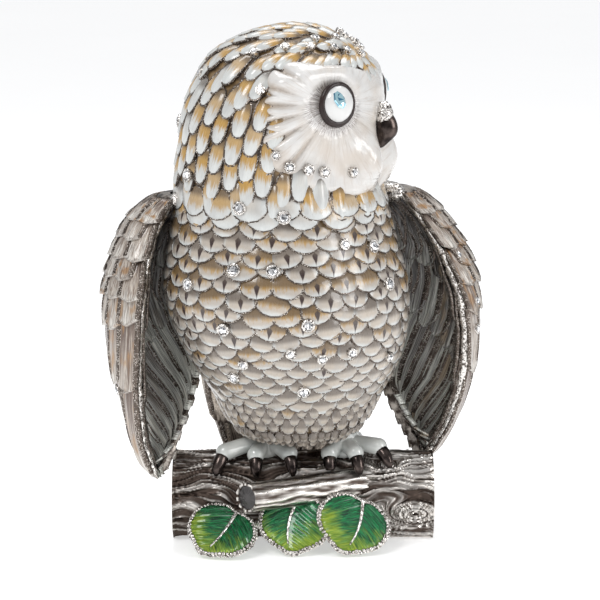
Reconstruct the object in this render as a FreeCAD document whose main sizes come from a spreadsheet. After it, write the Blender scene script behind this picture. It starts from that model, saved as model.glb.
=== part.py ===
import FreeCAD, Part

import math
import os

import Sketcher
from FreeCAD import Placement, Rotation, Vector

# Enamelled owl figurine perched on a log: hollow pewter castings, soldered and screwed together,
# with stones glued in cups. Millimetres, +Z up, the owl's chest towards -Y. The origin is the
# middle of the log's flat underside. Left and right are the owl's own, so its right side is at -X.
# The leaves alone are named as they lie when seen from the front, leaf_left being at -X.

doc = FreeCAD.newDocument("owl_figurine")
sheet = doc.addObject("Spreadsheet::Sheet", "sizes")

ALONG_X = Rotation(Vector(0, 1, 0), 90)
UP = Vector(0, 0, 1)
LOG_SPAN = 200.0


# ---------------------------------------------------------------- driving dimensions

DRIVING = {
    # log, its closing plate and the screws under it
    "log_radius": 15.0,
    "log_centre_height": 12.3,
    "log_length": 84.0,
    "log_wall": 2.2,
    "plate_width": 13.0,
    "plate_length": 74.0,
    "plate_thickness": 1.5,
    "plate_gap": 0.1,
    "boss_radius": 2.6,
    "boss_spacing": 62.0,
    "boss_top": 26.0,
    "small_screw_radius": 1.0,
    "small_head_radius": 1.9,
    "small_screw_length": 7.0,
    "small_head_height": 1.0,
    # screws that hold the owl's feet on the log
    "owl_screw_radius": 1.5,
    "owl_head_radius": 2.7,
    "owl_head_height": 1.8,
    "owl_screw_reach": 7.5,
    "washer_radius": 3.4,
    "washer_thickness": 0.6,
    # branch
    "branch_end_radius": 4.6,
    "branch_root_radius": 5.4,
    # leaves
    "leaf_length": 18.5,
    "leaf_half_width": 11.6,
    "leaf_thickness": 1.5,
    "leaf_rim": 1.1,
    "enamel_depth": 0.6,
    "leaf_clearance": 0.1,
    # feet
    "foot_spacing": 25.0,
    "foot_centre_x": 0.3,
    "foot_y": -1.0,
    "leg_radius": 4.6,
    "leg_top": 34.0,
    "toe_root_radius": 2.1,
    "toe_end_radius": 2.4,
    "talon_radius": 1.7,
    # body, head and wings
    "body_yaw": 15.0,
    "head_yaw": 72.0,
    "cast_wall": 2.2,
    "cavity_floor": 39.5,
    "collar_half_width": 31.6,
    "collar_half_depth": 31.0,
    "collar_thickness": 3.6,
    "collar_bottom": 103.5,
    "collar_height": 9.0,
    "face_thickness": 1.4,
    "face_half_width": 33.0,
    "face_half_height": 20.5,
    "face_centre_height": 136.0,
    "face_start": 3.0,
    "wing_centre_x": -5.0,
    "wing_thickness": 2.6,
    # eyes and beak
    "eye_height": 143.2,
    "eye_turn": 42.0,
    "eye_radius": 4.8,
    "eye_ring_outer": 6.6,
    "eye_ring_height": 1.3,
    "eye_dome": 2.2,
    "pupil_half_width": 1.5,
    "pupil_half_height": 2.1,
    "pupil_height": 1.0,
    "beak_height": 134.6,
    "beak_half_length": 6.4,
    "beak_radius": 3.3,
    # stones and their cups
    "large_stone_radius": 1.6,
    "medium_stone_radius": 1.25,
    "small_stone_radius": 0.95,
    "cup_wall": 0.5,
    "cup_height": 2.0,
    "face_cup_height": 1.4,
    "crown_rise": 0.55,
}

# Heights and cross-sections of the two main castings: each row is height, half width, half depth,
# and the centre in X and in Y. The half width is across the owl, the half depth from front to back.
BODY_SECTIONS = [
    (34.0, 15.5, 14.5, -1.6, 0.5),
    (36.0, 19.0, 17.5, -1.6, 0.5),
    (39.5, 22.3, 20.4, -1.6, 0.3),
    (45.0, 25.0, 22.9, -1.6, 0.0),
    (53.0, 29.3, 26.8, -1.8, -0.4),
    (60.6, 33.4, 30.4, -2.6, -0.8),
    (69.5, 36.4, 33.0, -3.7, -1.0),
    (79.0, 38.1, 34.6, -5.0, -1.0),
    (88.0, 37.5, 34.2, -5.9, -0.8),
    (96.0, 35.6, 32.8, -6.5, -0.4),
    (103.0, 34.1, 31.8, -6.8, 0.0),
    (108.0, 33.0, 31.6, -6.9, 0.0),
]
HEAD_SECTIONS = [
    (108.0, 32.8, 32.4, -7.0, 0.0),
    (113.0, 32.2, 32.0, -7.6, 0.0),
    (119.0, 31.6, 31.3, -8.1, 0.0),
    (125.5, 31.6, 31.0, -7.4, 0.0),
    (132.5, 31.6, 30.8, -6.8, 0.0),
    (140.0, 31.0, 30.2, -5.9, 0.0),
    (146.3, 29.5, 28.7, -4.8, 0.0),
    (151.5, 27.0, 26.3, -4.5, 0.0),
    (156.8, 22.3, 21.5, -4.5, 0.0),
    (161.2, 14.8, 14.2, -3.3, 0.0),
    (163.3, 8.4, 8.1, -2.4, 0.0),
    (164.2, 3.2, 3.1, -2.0, 0.0),
]
# The left wing, in the owl's own frame: height, then the leading edge, the point furthest out and
# the trailing edge. The right wing hangs more open and has its own rows, in the figurine's frame.
LEFT_WING_SECTIONS = [
    (21.5, (44.6, -4.6), (45.8, -3.2), (43.4, -2.0)),
    (26.0, (48.8, -5.0), (51.2, -2.2), (42.0, 0.6)),
    (34.0, (53.3, -6.5), (56.2, -1.8), (38.6, 4.0)),
    (45.0, (56.6, -8.5), (60.6, -2.4), (34.6, 7.5)),
    (55.0, (57.6, -10.0), (62.3, -2.8), (34.4, 12.0)),
    (66.0, (57.3, -11.3), (63.1, -3.3), (33.8, 16.0)),
    (78.0, (55.0, -11.5), (61.9, -3.3), (32.2, 18.0)),
    (90.0, (50.0, -10.0), (58.0, -2.5), (30.5, 17.0)),
    (100.0, (44.3, -8.0), (52.2, -1.5), (29.5, 15.0)),
    (108.0, (38.5, -6.0), (46.0, -0.8), (29.5, 11.0)),
    (112.0, (35.0, -4.0), (41.0, 0.0), (30.0, 6.5)),
]
RIGHT_WING_SECTIONS = [
    (21.5, (-46.5, -13.0), (-47.4, -11.6), (-44.8, -10.4)),
    (26.0, (-49.0, -14.5), (-50.8, -11.7), (-42.3, -8.9)),
    (34.0, (-51.5, -16.5), (-54.0, -11.8), (-39.5, -6.0)),
    (45.0, (-52.3, -18.5), (-56.4, -12.4), (-35.5, -2.5)),
    (55.0, (-52.0, -20.0), (-58.4, -12.8), (-33.5, 2.0)),
    (66.0, (-51.6, -21.0), (-59.5, -13.0), (-32.5, 6.3)),
    (78.0, (-50.5, -20.8), (-59.5, -12.6), (-32.0, 8.5)),
    (90.0, (-49.2, -18.5), (-57.5, -11.0), (-31.5, 8.5)),
    (100.0, (-46.8, -15.5), (-54.0, -9.0), (-30.5, 7.5)),
    (108.0, (-43.0, -12.0), (-48.9, -6.8), (-30.0, 5.0)),
    (112.0, (-39.0, -9.0), (-44.0, -5.0), (-30.5, 1.5)),
]
# The tail: height, half width, front and back.
TAIL_SECTIONS = [
    (12.0, 12.0, 19.0, 22.0),
    (18.0, 16.5, 18.6, 23.0),
    (27.0, 21.0, 18.0, 25.0),
    (38.0, 25.0, 16.5, 28.0),
    (50.0, 27.0, 15.0, 31.5),
    (60.0, 26.0, 15.0, 33.5),
]


def put_sizes_in_sheet():
    rows = dict(DRIVING)
    for stem, sections in (("body", BODY_SECTIONS), ("head", HEAD_SECTIONS)):
        for i, (z, half_width, half_depth, cx, cy) in enumerate(sections):
            rows[f"{stem}_{i}_height"] = z
            rows[f"{stem}_{i}_width"] = half_width
            rows[f"{stem}_{i}_depth"] = half_depth
            rows[f"{stem}_{i}_middle_x"] = cx
            rows[f"{stem}_{i}_middle_y"] = cy
    for row, (alias, value) in enumerate(rows.items(), start=1):
        sheet.set(f"A{row}", alias)
        sheet.set(f"B{row}", str(value))
        sheet.setAlias(f"B{row}", alias)
    doc.recompute()


def size(alias):
    return float(getattr(sheet, alias))


def bind(obj, **expressions):
    """Binds properties to the sheet; a bare word is a cell's alias."""
    for prop, text in expressions.items():
        obj.setExpression(prop, f"sizes.{text}" if text in DRIVING else text)


put_sizes_in_sheet()
parts = []


def keep(obj, label):
    """Marks an object as a sub-part, which is written to its own file."""
    obj.Label = label
    parts.append(obj)
    return obj


def shape_object(label, shape):
    obj = doc.addObject("Part::Feature", label)
    obj.Shape = shape
    return obj


# ---------------------------------------------------------------- helpers for sketched bodies


def body(label):
    return doc.addObject("PartDesign::Body", label)


def sketch_on(owner, role, name, lift=None):
    plane = next(f for f in owner.Origin.OriginFeatures if f.Role == role)
    sketch = owner.newObject("Sketcher::SketchObject", name)
    sketch.AttachmentSupport = [(plane, "")]
    sketch.MapMode = "FlatFace"
    if lift:
        sketch.setExpression("AttachmentOffset.Base.z", lift)
    return sketch


def circle_in(sketch, radius, x="0 mm", y="0 mm"):
    """A circle whose radius and centre are expressions."""
    i = sketch.addGeometry(Part.Circle(Vector(0, 0, 0), UP, 1.0), False)
    dims = (
        (Sketcher.Constraint("Radius", i, 1.0), radius),
        (Sketcher.Constraint("DistanceX", -1, 1, i, 3, 0.5), x),
        (Sketcher.Constraint("DistanceY", -1, 1, i, 3, 0.5), y),
    )
    for constraint, text in dims:
        c = sketch.addConstraint(constraint)
        sketch.setExpression(f"Constraints[{c}]", text)


def polygon_in(sketch, points):
    """A closed outline of straight lines through points, each a pair of expressions."""
    count = len(points)
    for k in range(count):
        a = Vector(k, k * k * 0.1, 0)
        b = Vector(k + 1, (k + 1) ** 2 * 0.1, 0)
        sketch.addGeometry(Part.LineSegment(a, b), False)
    for k in range(count):
        sketch.addConstraint(Sketcher.Constraint("Coincident", k, 2, (k + 1) % count, 1))
    for k, (x, y) in enumerate(points):
        cx = sketch.addConstraint(Sketcher.Constraint("DistanceX", -1, 1, k, 1, 1.0 + k))
        cy = sketch.addConstraint(Sketcher.Constraint("DistanceY", -1, 1, k, 1, 1.0 + k))
        sketch.setExpression(f"Constraints[{cx}]", x)
        sketch.setExpression(f"Constraints[{cy}]", y)


def swept(kind, owner, sketch, name, length, options):
    feature = owner.newObject(f"PartDesign::{kind}", name)
    feature.Profile = sketch
    for prop, value in options.items():
        setattr(feature, prop, value)
    feature.setExpression("Length", length)


def pad(owner, sketch, name, length, **options):
    swept("Pad", owner, sketch, name, length, options)


def pocket(owner, sketch, name, length, **options):
    swept("Pocket", owner, sketch, name, length, options)


def revolution(owner, sketch, name):
    feature = owner.newObject("PartDesign::Revolution", name)
    feature.Profile = sketch
    feature.ReferenceAxis = (sketch, ["V_Axis"])
    feature.Angle = 360.0


# ---------------------------------------------------------------- helpers for lofted castings


def envelope(stem, sections, grow, first=0, last=None):
    """A loft through a casting's elliptical sections, each larger by grow, an expression."""
    rows = list(enumerate(sections))[first:last]
    rings = []
    for i, _ in rows:
        ring = doc.addObject("Part::Ellipse", f"{stem}_ring_{i}")
        bind(
            ring,
            MajorRadius=f"sizes.{stem}_{i}_width + {grow}",
            MinorRadius=f"sizes.{stem}_{i}_depth + {grow}",
        )
        turn = f"sizes.{stem}_yaw"
        ring.Placement = Placement(Vector(0, 0, 0), Rotation(UP, size(f"{stem}_yaw")))
        ring.setExpression("Placement.Rotation.Angle", f"{turn} * 1 deg")
        ring.setExpression("Placement.Base.x", f"sizes.{stem}_{i}_middle_x * 1 mm")
        ring.setExpression("Placement.Base.y", f"sizes.{stem}_{i}_middle_y * 1 mm")
        ring.setExpression("Placement.Base.z", f"sizes.{stem}_{i}_height * 1 mm")
        rings.append(ring)
    loft = doc.addObject("Part::Loft", f"{stem}_loft")
    loft.Sections = rings
    loft.Solid = True
    loft.Ruled = False
    return loft


def cut(base, *tools):
    """base less each tool in turn, as Part::Cut objects."""
    for tool in tools:
        step = doc.addObject("Part::Cut", f"{base.Name}_less")
        step.Base = base
        step.Tool = tool
        base = step
    return base


def largest_after(shape, tools):
    """The largest solid that is left of a shape when the tools are cut away."""
    for tool in tools:
        shape = shape.cut(tool)
    return max(shape.Solids, key=lambda s: s.Volume)


def common(base, tool):
    step = doc.addObject("Part::Common", f"{base.Name}_in")
    step.Base = base
    step.Tool = tool
    return step


def group(label, shapes):
    """Like pieces as one sub-part of separate solids."""
    return keep(shape_object(label, Part.makeCompound(shapes)), label)


def turned(yaw, x, y):
    """A point or direction of the owl's own frame, turned by yaw degrees."""
    a = math.radians(yaw)
    return x * math.cos(a) - y * math.sin(a), x * math.sin(a) + y * math.cos(a)


def ahead(azimuth):
    """The level direction at azimuth, in degrees from -Y towards +X."""
    a = math.radians(azimuth)
    return Vector(math.sin(a), -math.cos(a), 0)


def on_surface(shape, azimuth, height, axis_x=-5.0):
    """The outermost point of a shape on a level ray from its upright axis, and the normal there."""
    start = Vector(axis_x, 0, height)
    ray = Part.makeLine(start, start + ahead(azimuth) * 90)
    inside = ray.common(shape)
    point = max((v.Point for v in inside.Vertexes), key=lambda p: (p - start).Length)
    face = min(shape.Faces, key=lambda f: f.distToShape(Part.Vertex(point))[0])
    u, v = face.Surface.parameter(point)
    normal = face.normalAt(u, v)
    if normal.dot(ahead(azimuth)) < 0:
        normal = -normal
    return point, normal


# ---------------------------------------------------------------- log, plate and small screws


def d_section(owner, name, radius, floor):
    """The log's cross-section: a circle about the log's axis with a flat at floor."""
    sketch = sketch_on(owner, "YZ_Plane", name)
    zc = size("log_centre_height")
    r = size("log_radius")
    half = math.sqrt(r * r - zc * zc)
    start = math.atan2(-zc, half)
    arc = Part.ArcOfCircle(Part.Circle(Vector(0, zc, 0), UP, r), start, math.pi - start)
    sketch.addGeometry(arc, False)
    sketch.addGeometry(Part.LineSegment(Vector(-half, 0, 0), Vector(half, 0, 0)), False)
    sketch.addConstraint(Sketcher.Constraint("Coincident", 0, 2, 1, 1))
    sketch.addConstraint(Sketcher.Constraint("Coincident", 1, 2, 0, 1))
    sketch.addConstraint(Sketcher.Constraint("Horizontal", 1))
    sketch.addConstraint(Sketcher.Constraint("PointOnObject", 0, 3, -2))
    dims = (
        (Sketcher.Constraint("Radius", 0, r), radius),
        (Sketcher.Constraint("DistanceY", -1, 1, 0, 3, zc), "sizes.log_centre_height"),
        (Sketcher.Constraint("DistanceY", 1, 1, -1, 1, 0.01), floor),
    )
    for constraint, text in dims:
        c = sketch.addConstraint(constraint)
        sketch.setExpression(f"Constraints[{c}]", text)
    return sketch


def make_log():
    log = body("log_shell")
    outside = d_section(log, "log_outside", "sizes.log_radius", "0.0001 mm")
    pad(log, outside, "log_solid", "sizes.log_length", Midplane=True)
    inside = d_section(log, "log_inside", "sizes.log_radius - sizes.log_wall", "0.5 mm")
    hollow = "sizes.log_length - 2 * sizes.log_wall"
    pocket(log, inside, "log_hollow", hollow, Midplane=True)
    boss = sketch_on(log, "XY_Plane", "boss_circles", "sizes.plate_thickness * 1 mm")
    for side in (-0.5, 0.5):
        circle_in(boss, "sizes.boss_radius", f"sizes.boss_spacing * {side}")
    pad(log, boss, "bosses", "sizes.boss_top - sizes.plate_thickness")
    recess = sketch_on(log, "XY_Plane", "plate_recess")
    w, g = "sizes.plate_width / 2 + sizes.plate_gap", "sizes.plate_length / 2 + sizes.plate_gap"
    polygon_in(recess, [(f"-({g})", f"-({w})"), (g, f"-({w})"), (g, w), (f"-({g})", w)])
    pocket(log, recess, "recess", "sizes.plate_thickness", Reversed=True)
    pilot = sketch_on(log, "XY_Plane", "pilot_circles")
    for side in (-0.5, 0.5):
        circle_in(pilot, "sizes.small_screw_radius", f"sizes.boss_spacing * {side}")
    pocket(log, pilot, "pilot_holes", "sizes.small_screw_length + 2", Reversed=True)
    clear = sketch_on(log, "XY_Plane", "owl_screw_circles")
    for side in (-0.5, 0.5):
        x = f"sizes.foot_centre_x + sizes.foot_spacing * {side}"
        circle_in(clear, "sizes.owl_screw_radius + 0.2", x, "sizes.foot_y")
    pocket(log, clear, "owl_screw_holes", "sizes.log_radius * 3", Reversed=True)
    return keep(log, "log_shell")


def make_base_plate():
    plate = body("log_base_plate")
    outline = sketch_on(plate, "XY_Plane", "plate_outline")
    w, g = "sizes.plate_width / 2", "sizes.plate_length / 2"
    polygon_in(outline, [(f"-({g})", f"-({w})"), (g, f"-({w})"), (g, w), (f"-({g})", w)])
    pad(plate, outline, "plate", "sizes.plate_thickness")
    holes = sketch_on(plate, "XY_Plane", "plate_holes")
    for side in (-0.5, 0.5):
        circle_in(holes, "sizes.small_screw_radius + 0.1", f"sizes.boss_spacing * {side}")
    pocket(plate, holes, "through_holes", "sizes.plate_thickness + 1", Reversed=True)
    seats = sketch_on(plate, "XY_Plane", "head_seats")
    for side in (-0.5, 0.5):
        circle_in(seats, "sizes.small_head_radius + 0.1", f"sizes.boss_spacing * {side}")
    pocket(plate, seats, "counterbores", "sizes.small_head_height + 0.05", Reversed=True)
    return keep(plate, "log_base_plate")


def screw_pattern(label, radius, head_radius, head_height, length):
    """One pan-head screw, head down at Z 0 and shank up, as a revolved body that is copied."""
    screw = body(label)
    half = sketch_on(screw, "XZ_Plane", f"{label}_profile")
    polygon_in(
        half,
        [
            ("0 mm", "0 mm"),
            (head_radius, "0 mm"),
            (head_radius, head_height),
            (radius, head_height),
            (radius, f"{head_height} + {length}"),
            ("0 mm", f"{head_height} + {length}"),
        ],
    )
    revolution(screw, half, f"{label}_turned")
    doc.recompute()
    return screw.Shape


def at(shape, x, y, z):
    copy = shape.copy()
    copy.Placement = Placement(Vector(x, y, z), Rotation())
    return copy


def make_screws():
    small = screw_pattern(
        "small_screw",
        "sizes.small_screw_radius",
        "sizes.small_head_radius",
        "sizes.small_head_height",
        "sizes.small_screw_length",
    )
    half = size("boss_spacing") / 2
    group("base_plate_screws", [at(small, side * half, 0, 0.05) for side in (-1, 1)])
    owl = screw_pattern(
        "owl_screw",
        "sizes.owl_screw_radius",
        "sizes.owl_head_radius",
        "sizes.owl_head_height",
        "sizes.owl_screw_reach + sizes.washer_thickness + sizes.log_wall",
    )
    washer = body("washer")
    ring = sketch_on(washer, "XY_Plane", "washer_ring")
    circle_in(ring, "sizes.washer_radius")
    circle_in(ring, "sizes.owl_screw_radius + 0.1")
    pad(washer, ring, "washer_pad", "sizes.washer_thickness")
    doc.recompute()
    # The ceiling of the log's hollow curves down on both sides, so the washer's rim touches first.
    inner = size("log_radius") - size("log_wall")
    reach = abs(size("foot_y")) + size("washer_radius")
    ceiling = size("log_centre_height") + math.sqrt(inner**2 - reach**2)
    under = ceiling - size("washer_thickness")
    spots = [(x, size("foot_y")) for x in foot_centres()]
    group("owl_screw_washers", [at(washer.Shape, x, y, under) for x, y in spots])
    head = size("owl_head_height")
    group("owl_screws", [at(owl, x, y, under - head) for x, y in spots])


def foot_centres():
    middle, half = size("foot_centre_x"), size("foot_spacing") / 2
    return middle - half, middle + half


make_log()
make_base_plate()
make_screws()
doc.recompute()

# The log's outer form without its hollow, which trims what rests on it.
log_form = doc.addObject("Part::Cylinder", "log_form")
bind(log_form, Radius="log_radius")
log_form.Height = LOG_SPAN
log_form.Placement = Placement(Vector(-LOG_SPAN / 2, 0, size("log_centre_height")), ALONG_X)


# ---------------------------------------------------------------- branch


def make_branch():
    root = Vector(14.5, -10.0, 19.5)
    end = Vector(-21.0, -25.5, 18.3)
    cone = doc.addObject("Part::Cone", "branch_taper")
    bind(cone, Radius1="branch_root_radius", Radius2="branch_end_radius")
    cone.Height = (end - root).Length
    cone.Placement = Placement(root, Rotation(UP, end - root))
    # The cut end faces halfway between the branch's own direction and the front.
    saw = doc.addObject("Part::Box", "branch_saw")
    saw.Length, saw.Width, saw.Height = 30, 30, 30
    face = Vector(-17.8, -24.0, 18.4)
    turn = Rotation(UP, Vector(-0.72, -0.69, 0.05))
    saw.Placement = Placement(face + turn.multVec(Vector(-15, -15, 0)), turn)
    return keep(cut(cone, saw, log_form), "branch")


branch = make_branch()


# ---------------------------------------------------------------- leaves


def leaf_outline(scale):
    """A broad, pointed leaf with its stem end at the origin and its tip along +Y."""
    length = size("leaf_length")
    half = size("leaf_half_width")
    middle = Vector(0, 0.5 * length, 0)
    stations = (
        (0.0, 0.0),
        (0.4, -0.02),
        (0.86, 0.16),
        (1.0, 0.43),
        (0.84, 0.7),
        (0.42, 0.89),
        (0.0, 1.0),
    )
    sides = []
    for side in (-1, 1):
        points = [Vector(side * x * half, y * length, 0) for x, y in stations]
        curve = Part.BSplineCurve()
        curve.interpolate([middle + (p - middle) * scale for p in points])
        sides.append(curve.toShape())
    return Part.Face(Part.Wire(sides))


def leaf_shapes():
    """The leaf's metal, with a sunk cell each side of its vein, and the enamel in the cells."""
    thick, depth = size("leaf_thickness"), size("enamel_depth")
    plate = leaf_outline(1.0).extrude(Vector(0, 0, thick))
    inner = 1 - size("leaf_rim") / size("leaf_half_width")
    cell = leaf_outline(inner).extrude(Vector(0, 0, depth))
    cell.translate(Vector(0, 0, thick - depth))
    length = size("leaf_length")
    vein = Part.makeBox(0.9, length, thick, Vector(-0.45, -0.2 * length, 0))
    fill = cell.cut(vein)
    return plate.cut(fill), fill


def make_leaf(name, base, swing, slope, roll, ahead_of):
    """A leaf placed by its stem end, leaning down and forward from the log."""
    forward = Rotation(Vector(1, 0, 0), 180 + slope).multiply(Rotation(Vector(0, 1, 0), 180))
    turn = forward.multiply(Rotation(UP, swing)).multiply(Rotation(Vector(0, 1, 0), roll))
    place = Placement(base, turn)
    metal, fill = leaf_shapes()
    floor = Part.makeBox(200, 200, 20, Vector(-100, -100, size("leaf_clearance") - 20))
    made = []
    for label, shape in ((name, metal), (f"{name}_enamel", fill)):
        shape.Placement = place
        trimmed = largest_after(shape, [log_form.Shape, branch.Shape, floor] + ahead_of)
        made.append(keep(shape_object(label, trimmed), label))
    return made


doc.recompute()
# The right-hand leaf lies over the edge of the middle one, which is trimmed to it.
right_leaf = make_leaf("leaf_right", Vector(18.8, -17.0, 15.2), -22, 55, -6, [])
over = [piece.Shape for piece in right_leaf]
middle_leaf = make_leaf("leaf_middle", Vector(-1.5, -16.0, 15.4), -6, 55, 4, over)
left_leaf = make_leaf("leaf_left", Vector(-20.8, -16.5, 12.8), -36, 54, 8, [])
leaves = left_leaf + middle_leaf + right_leaf


def make_twig():
    """The stalk that runs along the log's foot and carries the leaves."""
    points = [
        Vector(-21.0, -16.6, 9.0),
        Vector(-12.0, -17.4, 6.2),
        Vector(-1.0, -17.6, 5.4),
        Vector(11.0, -17.0, 7.4),
        Vector(19.0, -16.2, 10.0),
    ]
    spine = Part.BSplineCurve()
    spine.interpolate(points)
    ring = Part.Wire(Part.makeCircle(1.1, points[0], spine.tangent(0)[0]))
    twig = Part.Wire(spine.toShape()).makePipeShell([ring], True, False)
    twig = largest_after(twig, [log_form.Shape] + [leaf.Shape for leaf in leaves])
    return keep(shape_object("leaf_twig", twig), "leaf_twig")


make_twig()


# ---------------------------------------------------------------- main castings

body_form = envelope("body", BODY_SECTIONS, "0")
body_hollow = envelope("body", BODY_SECTIONS, "(0 - sizes.cast_wall)", first=2)
head_form = envelope("head", HEAD_SECTIONS, "0")
head_hollow = envelope("head", HEAD_SECTIONS, "(0 - sizes.cast_wall)", last=-3)
face_form = envelope("head", HEAD_SECTIONS, "sizes.face_thickness")
doc.recompute()


def half_space(name, yaw, behind):
    """A large box in front of or behind the owl's upright middle plane."""
    reach = 120.0
    box = doc.addObject("Part::Box", name)
    box.Length, box.Width, box.Height = 2 * reach, reach, 2 * reach
    side = 0.0 if behind else -reach
    x, y = turned(yaw, -reach, side)
    box.Placement = Placement(Vector(size("wing_centre_x") + x, y, 0), Rotation(UP, yaw))
    return box


def make_body_and_head():
    yaw = size("body_yaw")
    shell = cut(body_form, body_hollow)
    front = common(shell, half_space("front_half", yaw, behind=False))
    back = common(shell, half_space("back_half", yaw, behind=True))
    legs = [leg_hole(i, x) for i, x in enumerate(foot_centres())]
    keep(cut(front, *legs), "body_front_shell")
    keep(cut(back, *legs), "body_back_shell")
    keep(cut(head_form, head_hollow), "head_shell")


def leg_hole(i, x):
    """The blind hole in the body's underside that takes a screw's end."""
    hole = doc.addObject("Part::Cylinder", f"leg_hole_{i}")
    bind(hole, Radius="sizes.owl_screw_radius + 0.2")
    hole.Height = 4.0
    hole.Placement = Placement(Vector(x, size("foot_y"), size("leg_top") - 1), Rotation())
    return hole


def make_collar():
    rings = []
    for name, shrink in (("outer", "0"), ("inner", "sizes.collar_thickness")):
        ring = doc.addObject("Part::Ellipse", f"collar_{name}")
        bind(
            ring,
            MajorRadius=f"sizes.collar_half_width - {shrink}",
            MinorRadius=f"sizes.collar_half_depth - {shrink}",
        )
        x, z = -6.9, size("collar_bottom")
        ring.Placement = Placement(Vector(x, 0, z), Rotation(UP, size("body_yaw")))
        rise = doc.addObject("Part::Extrusion", f"collar_{name}_wall")
        rise.Base = ring
        rise.Dir = UP
        rise.Solid = True
        bind(rise, LengthFwd="collar_height")
        rings.append(rise)
    # The collar is sprung into both castings, so its outside follows their insides.
    hollow = doc.addObject("Part::Fuse", "neck_hollow")
    hollow.Base = body_hollow
    hollow.Tool = head_hollow
    return keep(common(cut(*rings), hollow), "neck_collar")


make_body_and_head()
make_collar()


# ---------------------------------------------------------------- face, eyes and beak

FACE = ahead(size("head_yaw"))
HEAD_MIDDLE = Vector(-6.3, 0, size("face_centre_height"))


def make_face_disc():
    """The front half of a skin over the head, bounded by an ellipse seen from the front."""
    rim = doc.addObject("Part::Ellipse", "face_rim")
    bind(rim, MajorRadius="face_half_width", MinorRadius="face_half_height")
    side = UP.cross(FACE)
    turn = Rotation(side, UP, FACE, "ZYX")
    rim.Placement = Placement(HEAD_MIDDLE + FACE * size("face_start"), turn)
    prism = doc.addObject("Part::Extrusion", "face_prism")
    prism.Base = rim
    prism.Dir = FACE
    prism.LengthFwd = 45
    prism.Solid = True
    return keep(cut(common(face_form, prism), head_form, *socket_tools()), "face_disc")


def eye_places():
    """The owl's right and left eye: side name, centre on the face, and outward direction."""
    found = []
    for side, turn in (("right", -size("eye_turn")), ("left", size("eye_turn"))):
        azimuth = size("head_yaw") + turn
        point, normal = on_surface(face_form.Shape, azimuth, size("eye_height"), -5.2)
        found.append((side, point, normal))
    return found


def socket_tools():
    """Cylinders that open the face where the eyes are set."""
    tools = []
    for side, point, normal in EYES:
        tool = doc.addObject("Part::Cylinder", f"eye_socket_{side}")
        bind(tool, Radius="sizes.eye_ring_outer + 0.05")
        tool.Height = 8.0
        tool.Placement = Placement(point - normal * 4, Rotation(UP, normal))
        tools.append(tool)
    return tools


def in_socket(point, normal):
    """The place of an eye's piece: sunk in its socket, its own Y upright."""
    upright = Rotation(UP.cross(normal), UP, normal, "ZYX")
    return Placement(point - normal * SOCKET_SINK, upright)


def make_eyes():
    for side, point, normal in EYES:
        ring = body(f"eye_ring_{side}")
        half = sketch_on(ring, "XZ_Plane", f"ring_profile_{side}")
        outer, inner = "sizes.eye_ring_outer", "sizes.eye_radius + 0.02"
        top = "sizes.eye_ring_height"
        polygon_in(
            half,
            [
                (inner, "0 mm"),
                (outer, "0 mm"),
                (outer, f"{top} * 0.7"),
                (f"({outer} + {inner}) / 2", top),
                (inner, f"{top} * 0.8"),
            ],
        )
        revolution(ring, half, f"ring_turned_{side}")
        ring.Placement = in_socket(point, normal)
        keep(ring, f"eye_ring_{side}")
        make_eyeball(side, point, normal)


def make_eyeball(side, point, normal):
    """A domed white cabochon with an oval stone let into it."""
    radius, dome = size("eye_radius"), size("eye_dome")
    sphere_radius = (radius**2 + dome**2) / (2 * dome)
    ball = Part.makeSphere(sphere_radius, Vector(0, 0, dome - sphere_radius))
    cap = ball.common(Part.makeCylinder(radius, dome + 1))
    a, b = size("pupil_half_height"), size("pupil_half_width")
    rise = size("pupil_height")
    oval = Part.Ellipse(Vector(0, 0, 0), a, b).toShape()
    top = Part.Ellipse(Vector(0, 0, 0), a * 0.62, b * 0.62).toShape()
    low = dome - 0.6
    girdle = Part.Wire(oval.translated(Vector(0, 0, low)))
    table = Part.Wire(top.translated(Vector(0, 0, low + rise)))
    stone = Part.makeLoft([girdle, table], True)
    stone.rotate(Vector(0, 0, 0), UP, 90)
    stone.translate(Vector(0.3, 1.5, 0))
    place = in_socket(point, normal)
    for label, shape in ((f"eyeball_{side}", cap.cut(stone)), (f"eye_stone_{side}", stone)):
        shape.Placement = place.multiply(shape.Placement)
        keep(shape_object(label, shape), label)


def make_beak():
    """A hooked beak: circles that shrink along a curve from the bridge down to the tip."""
    surface = on_surface(face_form.Shape, size("head_yaw"), size("beak_height"), -6.5)[0]
    half, radius = size("beak_half_length"), size("beak_radius")
    stations = (
        # height share, distance out, radius share
        (1.0, -2.2, 0.35),
        (0.62, 0.2, 0.8),
        (0.1, 1.6, 1.0),
        (-0.4, 2.2, 0.86),
        (-0.8, 1.7, 0.5),
        (-1.0, 1.2, 0.16),
    )
    rings = []
    for share, out, scale in stations:
        centre = surface + FACE * out + UP * (share * half)
        lean = Vector(FACE * 0.3 * (1 - share) + UP * 1.0).normalize()
        rings.append(Part.Wire(Part.makeCircle(radius * scale, centre, lean)))
    beak = largest_after(Part.makeLoft(rings, True), [face_form.Shape])
    return keep(shape_object("beak", beak), "beak")


# The eyes stand in sockets that go down to the head's casting at their middle.
SOCKET_SINK = size("face_thickness") - 0.75
EYES = eye_places()
face_disc = make_face_disc()
make_eyes()
make_beak()
doc.recompute()


# ---------------------------------------------------------------- wings and tail


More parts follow.
